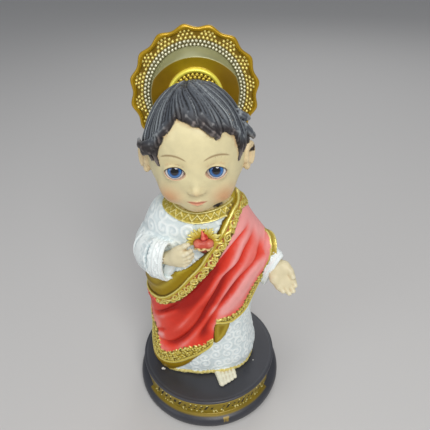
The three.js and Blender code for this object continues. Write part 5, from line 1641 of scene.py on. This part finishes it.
def need(mid, L):
    """Edge length over the length wanted there."""
    th, r = body_coords(mid[:, 0], mid[:, 1], mid[:, 2])
    x, y, z = mid[:, 0], mid[:, 1], mid[:, 2]
    dp, dh = sample(DP, th, z), sample(DH, th, z)
    near = (r > sample(R0, th, z) - 0.4) & (z < 84)
    front = np.abs(th) < 98
    want = np.full(len(mid), 0.85)

    def ask(m, v):
        want[m] = np.minimum(want[m], v)
    trim = (dp > -0.3) & (dp < sample(TRIM_HI, th, z) + 0.2) & (dh > 0)
    hem = (dh > -0.2) & (sample(D_TRIM, th, z) < sample(HEM_TRIM, th, z) + 0.2) & (dp > 0)
    ask(near & front & trim, 0.25)
    ask(near & front & hem, 0.28)
    ask(near & ~front & (trim | hem), 0.55)
    ask(near & front & (z > sample(COL_LO, th, z) - 0.2) & (z < sample(COL_HI, th, z) + 0.2), 0.27)
    ask(near & front & (np.abs(dp) < 0.5), 0.30)
    ask(near & (np.abs(sample(FLAP, th, z)) < 0.4), 0.22)
    ask(near & (th > -62) & (th < 20) & (np.abs(z - MANTLE_TOP(th)) < 0.4), 0.24)
    ask(near & (np.abs(th) < 75) & (np.abs(z - sample(hem_gold, th, z)) < 0.35), 0.20)
    ask(near & front & (sample(hem_gold, th, z) > z - 0.3), 0.36)
    ask(near & front & (dh < 0) & (z < 38), 0.50)
    ask((np.abs(x - HX_) < 6) & (y < -9.5) & (np.abs(z - 72.5) < 6), 0.24)
    ask((x > -12) & (x < -1) & (y < -12) & (z > 62) & (z < 76), 0.36)
    ask((x > 21) & (y < -5.5) & (z > 44) & (z < 61), 0.38)
    ask((np.abs(x - 6) < 6) & (y < -13) & (z < 16.5), 0.36)
    for rings in (L_RINGS, R_RINGS, M_RINGS):
        back, ang, k, a, b = sleeve_coords(rings[-1], x, y, z)
        ask((back > -0.5) & (back < 4.2) & (k < 1.25) & (y < 1), 0.33)
    head = (z > 84) & (y < -2)
    ask(head & (z > HAIRLINE(np.degrees(np.arctan2(x - HEAD[0], -(y - HEAD[1])))) - 0.6), 0.31)
    ask((z > 100) & (y >= -2), 0.52)
    ask((np.abs(np.abs(x - X0) - 14.2) < 2.3) & (z > 90) & (z < 102) & (y < 0), 0.32)
    face = (y < -10.5) & (z > 83) & (z < 104) & (np.abs(x - X0) < 10)
    ask(face, 0.50)
    for ex in EY:
        ask(face & (np.abs(almond(x, z, ex)) < 0.55), 0.125)
        bo, bl = brow_off(x, z, ex, 1 if ex > X0 else -1)
        ask(face & (np.abs(bo) < 0.55) & (bl < 3.7), 0.14)
    ask(face & (np.abs(x - X0) < 3.2) & (np.abs(z - 86.8) < 1.2), 0.15)
    ask((np.abs(x - 5.1) < 2.2) & (np.abs(z - 81.6) < 1.4) & (y < -4), 0.24)
    for cc, rr_ in CHIPS:
        ask(np.abs(mid - np.array(cc)).max(1) < 1.3, 0.16)
    return L / want


for step in range(11):
    room = int((FINE_TRIS - len(T)) / 2.15)
    if room < 300:
        break
    room = room if step > 7 else room // 3

    def marks(mid, L, a, b):
        q = need(mid, L)
        m = q > 1.0
        if m.sum() > room:
            m = q > np.partition(q, -room)[-room]
        return m
    n_old = len(V)
    V3, T3 = refine(V, T, marks)
    if len(V3) == n_old or len(T3) > FINE_TRIS + 3000:
        break
    V3[n_old:] = onto_surface(V3[n_old:], 1)
    V, T = V3, T3
V = onto_surface(V, 1)

conv, conv2 = trilinear(conv_a, AX, V), trilinear(conv_b, AX, V)
colours, rough, metal, part_of = paint(V, conv, conv2)
figure = mesh_from("figure_cast", V, T)
attribute(figure.data, "paint", "FLOAT_COLOR", colours)
attribute(figure.data, "rough", "FLOAT", rough)
attribute(figure.data, "metal", "FLOAT", metal)
figure.data.materials.append(painted("resin_paint", 0.03, 420, 0.05, coat=0.06, coat_rough=0.28, spec=0.32))
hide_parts("figure")
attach(figure, "root")


# ---------------------------------------------------------------- eyes
def eye_material():
    mat = bpy.data.materials.new("eye_glass")
    mat.use_nodes = True
    nt = mat.node_tree
    sh = nt.nodes["Principled BSDF"]
    sh.inputs["Roughness"].default_value = 0.06
    sh.inputs["Coat Weight"].default_value = 1.0
    sh.inputs["Coat Roughness"].default_value = 0.02
    sh.inputs["IOR"].default_value = 1.5
    off_ = nt.nodes.new("ShaderNodeAttribute")
    off_.attribute_name = "off_axis"
    spin = nt.nodes.new("ShaderNodeAttribute")
    spin.attribute_name = "spin"
    cmb = nt.nodes.new("ShaderNodeCombineXYZ")
    nt.links.new(spin.outputs["Fac"], cmb.inputs[0])
    n = nt.nodes.new("ShaderNodeTexNoise")
    n.noise_dimensions = "3D"
    n.inputs["Scale"].default_value = 9
    n.inputs["Detail"].default_value = 3
    mulv = nt.nodes.new("ShaderNodeMath")
    mulv.operation = "MULTIPLY"
    mulv.inputs[1].default_value = 0.8
    nt.links.new(off_.outputs["Fac"], mulv.inputs[0])
    nt.links.new(mulv.outputs[0], cmb.inputs[1])
    nt.links.new(cmb.outputs[0], n.inputs["Vector"])
    ramp = nt.nodes.new("ShaderNodeValToRGB")
    cr = ramp.color_ramp
    stops = [(0.0, (5, 6, 10)), (0.100, (6, 8, 14)), (0.112, (12, 36, 84)), (0.138, (30, 90, 160)), (0.176, (66, 140, 204)),
             (0.204, (40, 100, 172)), (0.218, (16, 40, 92)), (0.226, (40, 66, 112)), (0.236, (226, 232, 238)), (0.5, (238, 240, 240))]
    cr.elements[0].position, cr.elements[0].color = stops[0][0], (*srgb(*stops[0][1]), 1)
    cr.elements[1].position, cr.elements[1].color = stops[-1][0], (*srgb(*stops[-1][1]), 1)
    for p, c in stops[1:-1]:
        e = cr.elements.new(p)
        e.color = (*srgb(*c), 1)
    nt.links.new(off_.outputs["Fac"], ramp.inputs["Fac"])
    dark = nt.nodes.new("ShaderNodeMapRange")
    dark.inputs["From Min"].default_value = 0.35
    dark.inputs["From Max"].default_value = 0.65
    dark.inputs["To Min"].default_value = 0.78
    dark.inputs["To Max"].default_value = 1.15
    nt.links.new(n.outputs["Fac"], dark.inputs["Value"])
    mul = nt.nodes.new("ShaderNodeMix")
    mul.data_type = "RGBA"
    mul.blend_type = "MULTIPLY"
    inside_ = nt.nodes.new("ShaderNodeMath")
    inside_.operation = "LESS_THAN"
    inside_.inputs[1].default_value = 0.23
    nt.links.new(off_.outputs["Fac"], inside_.inputs[0])
    nt.links.new(inside_.outputs[0], mul.inputs["Factor"])
    nt.links.new(ramp.outputs["Color"], mul.inputs["A"])
    nt.links.new(dark.outputs["Result"], mul.inputs["B"])
    nt.links.new(mul.outputs["Result"], sh.inputs["Base Color"])
    return mat


def ring_mesh(name, rings, start, end):
    """Closed mesh through equal rings, ended in two points."""
    n = rings.shape[1]
    V_ = np.vstack([rings.reshape(-1, 3), [start], [end]])
    me = bpy.data.meshes.new(name)
    a = np.arange(rings.shape[0] - 1)[:, None] * n + np.arange(n)[None, :]
    b = np.arange(rings.shape[0] - 1)[:, None] * n + (np.arange(n)[None, :] + 1) % n
    quads = np.stack([a, b, b + n, a + n], -1).reshape(-1, 4)
    i = np.arange(n)
    s, e = len(V_) - 2, len(V_) - 1
    cap0 = np.stack([np.full(n, s), (i + 1) % n, i], -1)
    last = (rings.shape[0] - 1) * n
    cap1 = np.stack([np.full(n, e), last + i, last + (i + 1) % n], -1)
    tris = np.vstack([cap0, cap1, quads[:, [0, 1, 2]], quads[:, [0, 2, 3]]])
    va, vb, vc = V_[tris[:, 0]], V_[tris[:, 1]], V_[tris[:, 2]]
    if np.einsum("ij,ij->i", va, np.cross(vb, vc)).sum() < 0:
        quads, cap0, cap1 = quads[:, ::-1], cap0[:, ::-1], cap1[:, ::-1]
    loops = np.concatenate([quads.ravel(), cap0.ravel(), cap1.ravel()])
    starts = np.concatenate([np.arange(len(quads)) * 4, len(quads) * 4 + np.arange(2 * n) * 3])
    me.vertices.add(len(V_))
    me.vertices.foreach_set("co", (V_ * MM).astype(np.float32).ravel())
    me.loops.add(len(loops))
    me.loops.foreach_set("vertex_index", loops.astype(np.int32))
    me.polygons.add(len(starts))
    me.polygons.foreach_set("loop_start", starts.astype(np.int32))
    me.polygons.foreach_set("use_smooth", np.ones(len(starts), bool))
    me.update(calc_edges=True)
    ob = bpy.data.objects.new(name, me)
    bpy.context.scene.collection.objects.link(ob)
    return ob, V_


EYE_MAT = eye_material()
GAZE = np.array([0.0, -0.965, 0.26])
GAZE /= np.linalg.norm(GAZE)
for node, ex in (("eye_left", EY[0]), ("eye_right", EY[1])):
    c = np.array([ex, EYE_Y, EYE_Z])
    e1 = np.array([1.0, 0, 0])
    e2 = np.cross(GAZE, e1)
    ang = np.radians(np.concatenate([np.linspace(1.5, 60, 56), np.linspace(63, 178, 24)]))
    spin = np.radians(np.arange(72) * 5.0)
    rr = EYE_R * (1 + 0.018 * ease(42, 20, np.degrees(ang)) - 0.006)
    rings = (c + rr[:, None, None] * (np.cos(ang)[:, None, None] * GAZE + np.sin(ang)[:, None, None]
             * (np.cos(spin)[None, :, None] * e1 + np.sin(spin)[None, :, None] * e2)))
    ob, vv = ring_mesh(node + "_glass", rings, c + GAZE * rr[0], c - GAZE * rr[-1])
    offa = np.concatenate([np.repeat(np.degrees(ang) / 180.0, 72), [0.0], [1.0]])
    spa = np.concatenate([np.tile(np.abs(((np.degrees(spin) + 180) % 360) - 180) / 18.0, len(ang)), [0], [0]])
    attribute(ob.data, "off_axis", "FLOAT", offa)
    attribute(ob.data, "spin", "FLOAT", spa)
    ob.data.materials.append(EYE_MAT)
    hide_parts(node)
    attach(ob, "root")


# ---------------------------------------------------------------- halo
def halo_world(phi, r, forward):
    a = np.radians(phi)
    yw, tl = math.radians(HALO["yaw"]), math.radians(HALO["tilt"])
    c, s = np.cos(a) * r, np.sin(a) * r
    return np.stack([HALO["x"] + c * math.cos(yw) + forward * math.sin(yw),
                     HALO["y"] + s * math.sin(tl) + c * math.sin(yw) - forward * math.cos(yw),
                     HALO["z"] + s * math.cos(tl) + forward * math.sin(tl)], -1)


def scallop(phi):
    """Radius of the scalloped edge, and 1 at a tip to 0 at a valley."""
    total, near = 0, 0
    offs = np.arange(-6.0, 6.01, 1.0)
    for o in offs:                                                # evened out, as cast
        t = np.abs(np.mod((phi + o - 90 - HALO["roll"]) / (360 / HALO["points"]), 1.0) - 0.5) * 2
        g = math.exp(-0.5 * (o / 2.5) ** 2)
        total = total + g * (1 - t) ** 1.3
        near = near + g
    w = total / near
    w = (w - 0.10) / 0.68
    return mix(HALO["valley"] + 0.80, HALO["tip"], w), np.clip(w, 0, 1)


def bevel_in(phi):
    """Inner edge of the grey bevel, wide at the top and narrow below; its grey is a painted reflection of light from
    above.
    """
    a = np.radians(phi)
    r_in = -4.3 * np.sin(a) + np.sqrt(15.1 ** 2 - (4.3 * np.cos(a)) ** 2)
    return np.clip(r_in, 10.8, np.where(np.sin(a) < 0, 12.75, 12.85))


NPHI = 16 * 50
phi_h = 90 + HALO["roll"] + 360 * np.arange(NPHI) / NPHI
edge_r, w_h = scallop(phi_h)
rim_w = 1.10 + 0.40 * w_h
in_r = bevel_in(phi_h)
rows = []   # kind and two values
rows += [("abs", r_, -1.7) for r_ in (1.0, 5.0, 9.0, 12.0)] + [("back", -3.2, -1.55), ("back", -2.0, -1.25), ("back", -1.0, -0.95), ("back", -0.35, -0.6), ("back", -0.05, -0.25)]
rows += [("rim", 0.0, 0.0), ("rim", 0.03, 0.28), ("rim", 0.12, 0.52), ("rim", 0.28, 0.70), ("rim", 0.5, 0.76), ("rim", 0.72, 0.68), ("rim", 0.88, 0.48), ("rim", 0.98, 0.22)]
NB = 46
rows += [("ring", f_, None) for f_ in np.linspace(0.0, 1.0, NB)]
rows += [("bevel", s_, h_) for s_, h_ in ((0.0, 0.05), (0.06, 0.25), (0.2, 0.72), (0.4, 1.35), (0.6, 1.95), (0.8, 2.5), (0.92, 2.82), (1.0, 2.95))]
rows += [("plate", s_, 2.97 - 0.05 * math.sin(math.pi * s_)) for s_ in (0.06, 0.15, 0.3, 0.5, 0.7, 0.85, 0.94, 1.0)]
rows += [("torus", r_, f_) for r_, f_ in ((8.03, 3.1), (8.02, 3.45), (7.98, 3.78), (7.86, 4.05), (7.65, 4.24), (7.38, 4.32), (7.1, 4.24), (6.9, 4.05), (6.79, 3.8), (6.74, 3.6))]
rows += [("petal", r_, None) for r_ in np.linspace(6.7, 4.95, 20)]
rows += [("abs", r_, 3.45) for r_ in (4.7, 3.3, 1.5)]
rings, kinds, radii, heights = [], [], [], []
# rows of beads: radius, how many in each of the sixteen parts, start, spacing, bead radius, height
bead_rows = [(13.62, 5, 0.0, 0.200, 0.43, 0.42), (14.55, 5, 0.5, 0.200, 0.45, 0.42), (15.50, 5, 0.0, 0.200, 0.45, 0.42), (16.42, 4, 0.0, 0.190, 0.44, 0.40), (17.22, 3, 0.0, 0.165, 0.40, 0.36)]


def beads(phi, r):
    best = np.zeros(phi.shape)
    row_of = np.zeros(phi.shape)
    du_deg = 360 / HALO["points"]
    U = (phi - 90 - HALO["roll"]) / du_deg
    u, cellno = np.mod(U, 1.0) - 0.5, np.floor(U)                # u is 0 where the edge stands out
    for k, (rb, n_, start, gap_, rad_, hi_) in enumerate(bead_rows):
        for i in range(n_):
            pos = (i - (n_ - 1) / 2 + start) * gap_
            pos = (pos + 0.5) % 1.0 - 0.5
            for wrap_ in ((-1, 0, 1) if abs(pos) > 0.35 else (0,)):
                h = hashed(np.mod(cellno - wrap_, 16), i + 10.0 * k, 3)
                d = np.hypot(np.radians((u - pos - wrap_) * du_deg) * r + (hashed(h * 50, 1.0, 2) - 0.5) * 0.12, r - rb - (h - 0.5) * 0.14)
                v = dome(d, rad_) * hi_ * (0.9 + 0.2 * h)
                row_of = np.where(v > best, k + 1, row_of)
                best = np.maximum(best, v)
    return best, row_of


for kind, a, b in rows:
    hh = np.zeros(NPHI)
    if kind == "abs":
        r_, f_, kk = np.full(NPHI, float(a)), np.full(NPHI, float(b)), 0
    elif kind == "back":
        r_, f_, kk = edge_r + a, np.full(NPHI, float(b)), 0
    elif kind == "rim":
        r_, f_, kk = edge_r - a * rim_w, np.full(NPHI, float(b)), 1
    elif kind == "bevel":
        r_, f_, kk = mix(13.05, in_r, a), np.full(NPHI, float(b)), 3
    elif kind == "plate":
        r_, f_, kk = mix(in_r, 8.06, a), np.full(NPHI, float(b)), 4
    elif kind == "torus":
        r_, f_, kk = np.full(NPHI, float(a)), np.full(NPHI, float(b)), 6
    elif kind == "petal":
        r_, kk = np.full(NPHI, float(a)), 5
        best = 0
        for rb, n_, rad_ in ((6.25, 32, 0.50), (5.4, 28, 0.46)):
            du = np.abs(np.mod(phi_h / 360 * n_ + (0.5 if rb < 5.9 else 0), 1.0) - 0.5) * 2 * math.pi * a / n_
            best = np.maximum(best, dome(np.hypot(du, (a - rb) * 0.9), rad_))
        hh = best
        f_ = 3.48 + 0.42 * best
    else:
        r_ = mix(edge_r - rim_w * 1.0, np.full(NPHI, 13.1), a)
        bd, ro = beads(phi_h, r_)
        f_ = 0.16 * (1 - ease(0, 0.05, a)) + 0.04 + bd
        hh = np.where(bd > 0.03, ro + np.clip(bd / 0.4, 0, 0.95), 0)
        kk = 2
    rings.append(halo_world(phi_h, r_, f_))
    radii.append(r_)
    heights.append(hh)
    kinds.append(np.full(NPHI, kk))
rings = np.array(rings)
halo_ob, hv = ring_mesh("halo_disc", rings, halo_world(0.0, 0.0, -1.7), halo_world(0.0, 0.0, 3.45))
radii, heights, kinds = np.array(radii).ravel(), np.array(heights).ravel(), np.array(kinds).ravel()
a_, b_, fw = halo_local(hv[:, 0], hv[:, 1], hv[:, 2])
phi_all = np.degrees(np.arctan2(b_, a_))
N_ = len(hv)
kk, hh, rr = np.append(kinds, [0, 0]), np.append(heights, [0, 0]), np.append(radii, [0, 0])
colh = np.tile(srgb(170, 136, 26), (N_, 1))
roughh = np.full(N_, 0.34)
metalh = np.full(N_, 0.45)
sideways = np.abs(np.cos(np.radians(phi_all)))
ringz = kk == 2
lift_b = np.mod(hh, 1.0)
bare = ringz & (hh == 0)
colh[bare] = srgb(138, 108, 8)
# beads are painted lighter towards their tops as painted highlight
inner = ringz & (hh >= 1) & (hh < 3)
colh[inner] = lerp3(np.tile(srgb(128, 120, 74), (inner.sum(), 1)), srgb(246, 244, 214), ease(0.25, 0.85, lift_b[inner]))
outer = ringz & (hh >= 3)
colh[outer] = lerp3(np.tile(srgb(140, 108, 14), (outer.sum(), 1)), srgb(255, 240, 140), ease(0.25, 0.85, lift_b[outer]))
near_b = ringz & (rr < 15.0) & (hh == 0)
colh[near_b] = srgb(104, 96, 54)
rim = kk == 1
colh[rim] = srgb(190, 152, 20)
bevel = kk == 3
# the bevel's grey is a painted reflection
colh[bevel] = srgb(156, 156, 114)
roughh[bevel] = 0.42
metalh[bevel] = 0.30
plate = kk == 4
# painted shade towards the plate's left and right sides, lighter at its top and bottom
colh[plate] = lerp3(np.tile(srgb(170, 142, 0), (plate.sum(), 1)), srgb(146, 112, 2), ease(0.3, 0.9, sideways[plate]))
torus = kk == 6
colh[torus] = srgb(255, 242, 96)
metalh[torus] = 0.3
pet = kk == 5
# petals: painted shade between them and painted highlight on their raised parts
colh[pet] = lerp3(np.tile(srgb(120, 92, 8), (pet.sum(), 1)), srgb(240, 214, 84), ease(0.15, 0.7, hh[pet]))
colh[fw < -0.5] = srgb(160, 128, 40)
attribute(halo_ob.data, "paint", "FLOAT_COLOR", colh)
attribute(halo_ob.data, "rough", "FLOAT", roughh)
attribute(halo_ob.data, "metal", "FLOAT", metalh)
halo_ob.data.materials.append(painted("halo_gold_metal", 0.02, 300, 0.08, coat=0.2, coat_rough=0.15))
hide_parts("halo")
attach(halo_ob, "root")

# ---------------------------------------------------------------- base
prof_b = [(22.0, 0.0), (25.4, 0.0), (25.9, 0.06), (26.3, 0.3), (26.65, 0.75), (26.88, 1.3), (27.0, 1.9), (27.0, 2.6), (26.92, 3.2), (26.7, 3.7), (26.3, 4.2),
          (25.75, 4.6), (25.2, 4.88), (24.75, 5.02), (24.45, 5.12), (24.32, 5.25), (24.3, 5.4)]
NBAND = 34
prof_b += [(24.3, z_) for z_ in np.linspace(5.5, 10.6, NBAND)]
prof_b += [(24.3, 10.68), (24.36, 10.8), (24.55, 10.92), (24.8, 11.02), (24.95, 11.18), (25.0, 11.4), (25.0, 11.65), (24.95, 11.85), (24.8, 12.0), (24.55, 12.08),
           (24.2, 12.1), (23.95, 12.09), (23.85, 12.065), (23.75, 12.065), (23.65, 12.095), (23.4, 12.1), (22.6, 12.1)]
prof_b += [(r_, 12.1) for r_ in (21, 19, 17, 15, 12, 8, 4)]
prof_b = np.array(prof_b)
t_front = np.arange(-68, 62.01, 0.36)
t_back = np.arange(62.01 + 2, 360 - 68 - 0.5, 2.0)
t_b = np.concatenate([t_front, t_back])
Tb, Pb = np.meshgrid(t_b, np.arange(len(prof_b)), indexing="xy")
Rb = prof_b[Pb, 0].astype(float)
Zb = prof_b[Pb, 1].astype(float)
Tw = wrap(Tb)
# the band's own outline: a point at the left end, rounded at the right
lo_edge = BAND_Z[0] + 0.02 + 2.5 * ease(-56, -67, Tw) + 1.4 * ease(53, 61, Tw)
hi_edge = BAND_Z[1] - 0.02 - 0.2 * ease(-62, -67, Tw) - 1.4 * ease(54, 61, Tw)
inband = (Zb >= lo_edge) & (Zb <= hi_edge) & (Tw >= BAND_ARC[0]) & (Tw <= BAND_ARC[1]) & (Rb < 24.4) & (Zb > 5.4) & (Zb < 10.65)
sb = np.radians(Tw) * BASE_WAIST_R
fade = ease(0, 0.25, Zb - lo_edge) * ease(0, 0.25, hi_edge - Zb)
# rows of short shallow strokes, all leaning one way, and dots: none of them a letter
pitch_b = 1.95
cellb = np.floor(sb / pitch_b)
h1, h2, h3 = hashed(cellb, 1.0, 5), hashed(cellb, 2.0, 6), hashed(cellb, 3.0, 7)
lx = sb - (cellb + 0.5) * pitch_b
lz = Zb - 8.3
slant = 0.45 + 0.4 * h1
tall = 0.8 + 0.7 * h2
bar = dome(lx - slant * lz * 0.6, 0.42) * (np.abs(lz) < tall)
tick = dome(lx - 0.4 * (lz + 0.25), 0.38) * (np.abs(lz + 0.25) < 0.35 + 0.3 * h2)
dotm = dome(np.hypot(lx + 0.3, lz + 0.8), 0.42)
stroke = np.where(h3 < 0.35, bar, np.where(h3 < 0.70, tick, np.maximum(dotm, dome(np.hypot(lx - 0.35, lz - 0.35), 0.42))))
stroke = stroke * (Tw > -58) * (Tw < 54) * (h1 > 0.10)
glint = dome(np.hypot(lx - 0.55 * np.sign(h2 - 0.5), lz + 1.25 + 0.35 * h1), 0.34) * (h3 > 0.25)
glint = np.maximum(glint, dome(np.hypot(lx - 0.25, lz - 1.35), 0.30) * (h1 > 0.6)) * (Tw > -60) * (Tw < 56)
lower_row = np.maximum(glint, dome(np.hypot(np.mod(sb, 1.1) - 0.55, Zb - 6.25), 0.27) * (hashed(np.floor(sb / 1.1), 4.0, 8) > 0.55) * (Tw > -58) * (Tw < 54))
relief = 0.25 * fade - 0.26 * stroke + 0.20 * lower_row
Rb = Rb + np.where(inband, relief, 0)
Rb += np.where((Zb > 0.5) & (Zb < 5), 0.03 * np.sin(np.radians(Tw * 5 + 40)) + 0.02 * np.sin(np.radians(Tw * 11)), 0) * (Rb < 27.05) - 0.05 * ((Zb > 0.5) & (Zb < 5))
rings = np.stack([Rb * np.sin(np.radians(Tb)), -Rb * np.cos(np.radians(Tb)), Zb], -1)
base_ob, bv = ring_mesh("base_turned", rings, np.array([0, 0, 0.0]), np.array([0, 0, BASE_H]))
NV = len(bv)
tv = np.degrees(np.arctan2(bv[:, 0], -bv[:, 1]))
rv, zv = np.hypot(bv[:, 0], bv[:, 1]), bv[:, 2]
colb = np.tile(srgb(54, 55, 62), (NV, 1))
roughb = np.full(NV, 0.42)
metalb = np.zeros(NV)
band_v = np.append(inband.ravel(), [False, False])
st_v = np.append(stroke.ravel(), [0, 0])
lr_v = np.append(lower_row.ravel(), [0, 0])
g = np.tile(srgb(150, 128, 20), (NV, 1))
# recessed strokes painted dark as painted shade; raised dots and glints painted pale as painted glints
g = lerp3(g, srgb(20, 16, 8), ease(0.15, 0.6, st_v))
g = lerp3(g, srgb(255, 246, 170), ease(0.25, 0.7, lr_v) * 0.95)
# thin line along the band's top edge: painted highlight, paler towards the left
line_top = band_v & (zv > 10.25)
g[line_top] = lerp3(np.tile(srgb(190, 164, 60), (line_top.sum(), 1)), srgb(226, 222, 178), ease(-35, -58, tv[line_top]))
below = (rv < 25.25) & (zv > 4.85) & (zv < 5.6) & (tv > -60) & (tv < 57)
g[below] = srgb(140, 118, 24)
band_v = band_v | below
colb = np.where(band_v[:, None], g, colb)
metalb = np.where(band_v, 0.35 * (1 - ease(0.15, 0.6, st_v)), metalb)
roughb = np.where(band_v, 0.36, roughb)
# faint lighter ring near the top edge: painted highlight
m = (zv > 12.0) & (rv > 23.6) & (rv < 24.05)
colb[m] = srgb(64, 66, 72)
m = (rv > 24.7) & (zv > 11.0) & ~band_v
colb[m] = srgb(62, 63, 70)
blot = spot(bv, [6.1, -26.1, 4.3], 1.15, 0.25)
colb = lerp3(colb, srgb(160, 136, 62), blot * (rv > 24.8) * (zv > 2.0) * 0.9)
metalb = np.maximum(metalb, 0.4 * blot * (rv > 24.8))
attribute(base_ob.data, "paint", "FLOAT_COLOR", colb)
attribute(base_ob.data, "rough", "FLOAT", roughb)
attribute(base_ob.data, "metal", "FLOAT", metalb)
base_mat = painted("base_satin", 0.03, 160, 0.10, coat=0.15, coat_rough=0.3)
nt = base_mat.node_tree
sh = [n_ for n_ in nt.nodes if n_.type == "BSDF_PRINCIPLED"][0]
tc = [n_ for n_ in nt.nodes if n_.type == "TEX_COORD"][0]
src = sh.inputs["Base Color"].links[0].from_socket
for centre, radius, tint in (((-17.0, -10.3, 12.1), 0.52, (236, 234, 230)), ((-16.5, -10.5, 12.1), 0.36, (228, 226, 222)), ((16.7, -7.5, 12.1), 0.20, (226, 224, 220))):
    dist = nt.nodes.new("ShaderNodeVectorMath")
    dist.operation = "DISTANCE"
    dist.inputs[1].default_value = [v * MM for v in centre]
    nt.links.new(tc.outputs["Object"], dist.inputs[0])
    wob = nt.nodes.new("ShaderNodeTexNoise")
    wob.inputs["Scale"].default_value = 1100
    nt.links.new(tc.outputs["Object"], wob.inputs["Vector"])
    sc_ = nt.nodes.new("ShaderNodeMath")
    sc_.operation = "MULTIPLY_ADD"
    sc_.inputs[1].default_value = radius * 1.3 * MM
    sc_.inputs[2].default_value = radius * 0.35 * MM
    nt.links.new(wob.outputs["Fac"], sc_.inputs[0])
    less = nt.nodes.new("ShaderNodeMath")
    less.operation = "LESS_THAN"
    nt.links.new(dist.outputs["Value"], less.inputs[0])
    nt.links.new(sc_.outputs[0], less.inputs[1])
    mx = nt.nodes.new("ShaderNodeMix")
    mx.data_type = "RGBA"
    mx.inputs["B"].default_value = (*srgb(*tint), 1)
    nt.links.new(less.outputs[0], mx.inputs["Factor"])
    nt.links.new(src, mx.inputs["A"])
    src = mx.outputs["Result"]
nt.links.new(src, sh.inputs["Base Color"])
base_ob.data.materials.append(base_mat)
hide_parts("base")
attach(base_ob, "root")

# ---------------------------------------------------------------- floor, lights, camera
me = bpy.data.meshes.new("floor")
me.from_pydata([(-4, -3, 0), (4, -3, 0), (4, 6, 0), (-4, 6, 0)], [], [(0, 1, 2, 3)])
floor = bpy.data.objects.new("floor", me)
bpy.context.scene.collection.objects.link(floor)
fm = bpy.data.materials.new("floor_pale")
fm.use_nodes = True
fb = fm.node_tree.nodes["Principled BSDF"]
fb.inputs["Base Color"].default_value = (0.62, 0.61, 0.60, 1)
fb.inputs["Roughness"].default_value = 0.8
me.materials.append(fm)

world = bpy.data.worlds.new("studio")
bpy.context.scene.world = world
world.use_nodes = True
bg = world.node_tree.nodes["Background"]
bg.inputs[0].default_value = (0.92, 0.95, 1.0, 1)
bg.inputs[1].default_value = 0.28


def area(name, at, towards, size, power, tint=(1, 1, 1)):
    ld = bpy.data.lights.new(name, "AREA")
    ld.shape = "DISK"
    ld.size = size
    ld.energy = power
    ld.color = tint
    lo2 = bpy.data.objects.new(name, ld)
    lo2.location = at
    d = Vector(towards) - Vector(at)
    lo2.rotation_mode = "QUATERNION"
    lo2.rotation_quaternion = d.to_track_quat("-Z", "Y")
    bpy.context.scene.collection.objects.link(lo2)


area("key", (0.12, -0.42, 0.46), (0, 0, 0.07), 0.34, 2.1, (1.0, 0.985, 0.96))
area("top", (-0.05, -0.05, 0.62), (0, 0, 0.07), 0.30, 0.45, (1.0, 0.99, 0.98))
area("fill", (-0.50, -0.35, 0.30), (0, 0, 0.07), 0.40, 0.55, (0.95, 0.98, 1.0))
area("back", (0.15, 0.50, 0.45), (0, 0, 0.08), 0.30, 0.5)

PITCH, ROLL, FPX = math.radians(33.8327), math.radians(-1.3411), 431.39
fwd = np.array([0, math.cos(PITCH), -math.sin(PITCH)])
right, up_ = np.array([1.0, 0, 0]), np.array([0, math.sin(PITCH), math.cos(PITCH)])
rx = math.cos(ROLL) * right + math.sin(ROLL) * up_
ux = -math.sin(ROLL) * right + math.cos(ROLL) * up_
cd = bpy.data.cameras.new("camera")
cd.sensor_fit = "HORIZONTAL"
cd.sensor_width = 36
cd.lens = FPX / 430 * 36
cd.clip_start, cd.clip_end = 0.01, 50
cam = bpy.data.objects.new("camera", cd)
M4 = Matrix([[rx[0], ux[0], -fwd[0], 3.618 * MM], [rx[1], ux[1], -fwd[1], -112.34 * MM], [rx[2], ux[2], -fwd[2], 148.69 * MM], [0, 0, 0, 1]])
cam.matrix_world = M4
bpy.context.scene.collection.objects.link(cam)
bpy.context.scene.camera = cam
bpy.context.scene.view_settings.view_transform = "Standard"
bpy.context.scene.view_settings.look = "None"

bpy.context.view_layer.update()
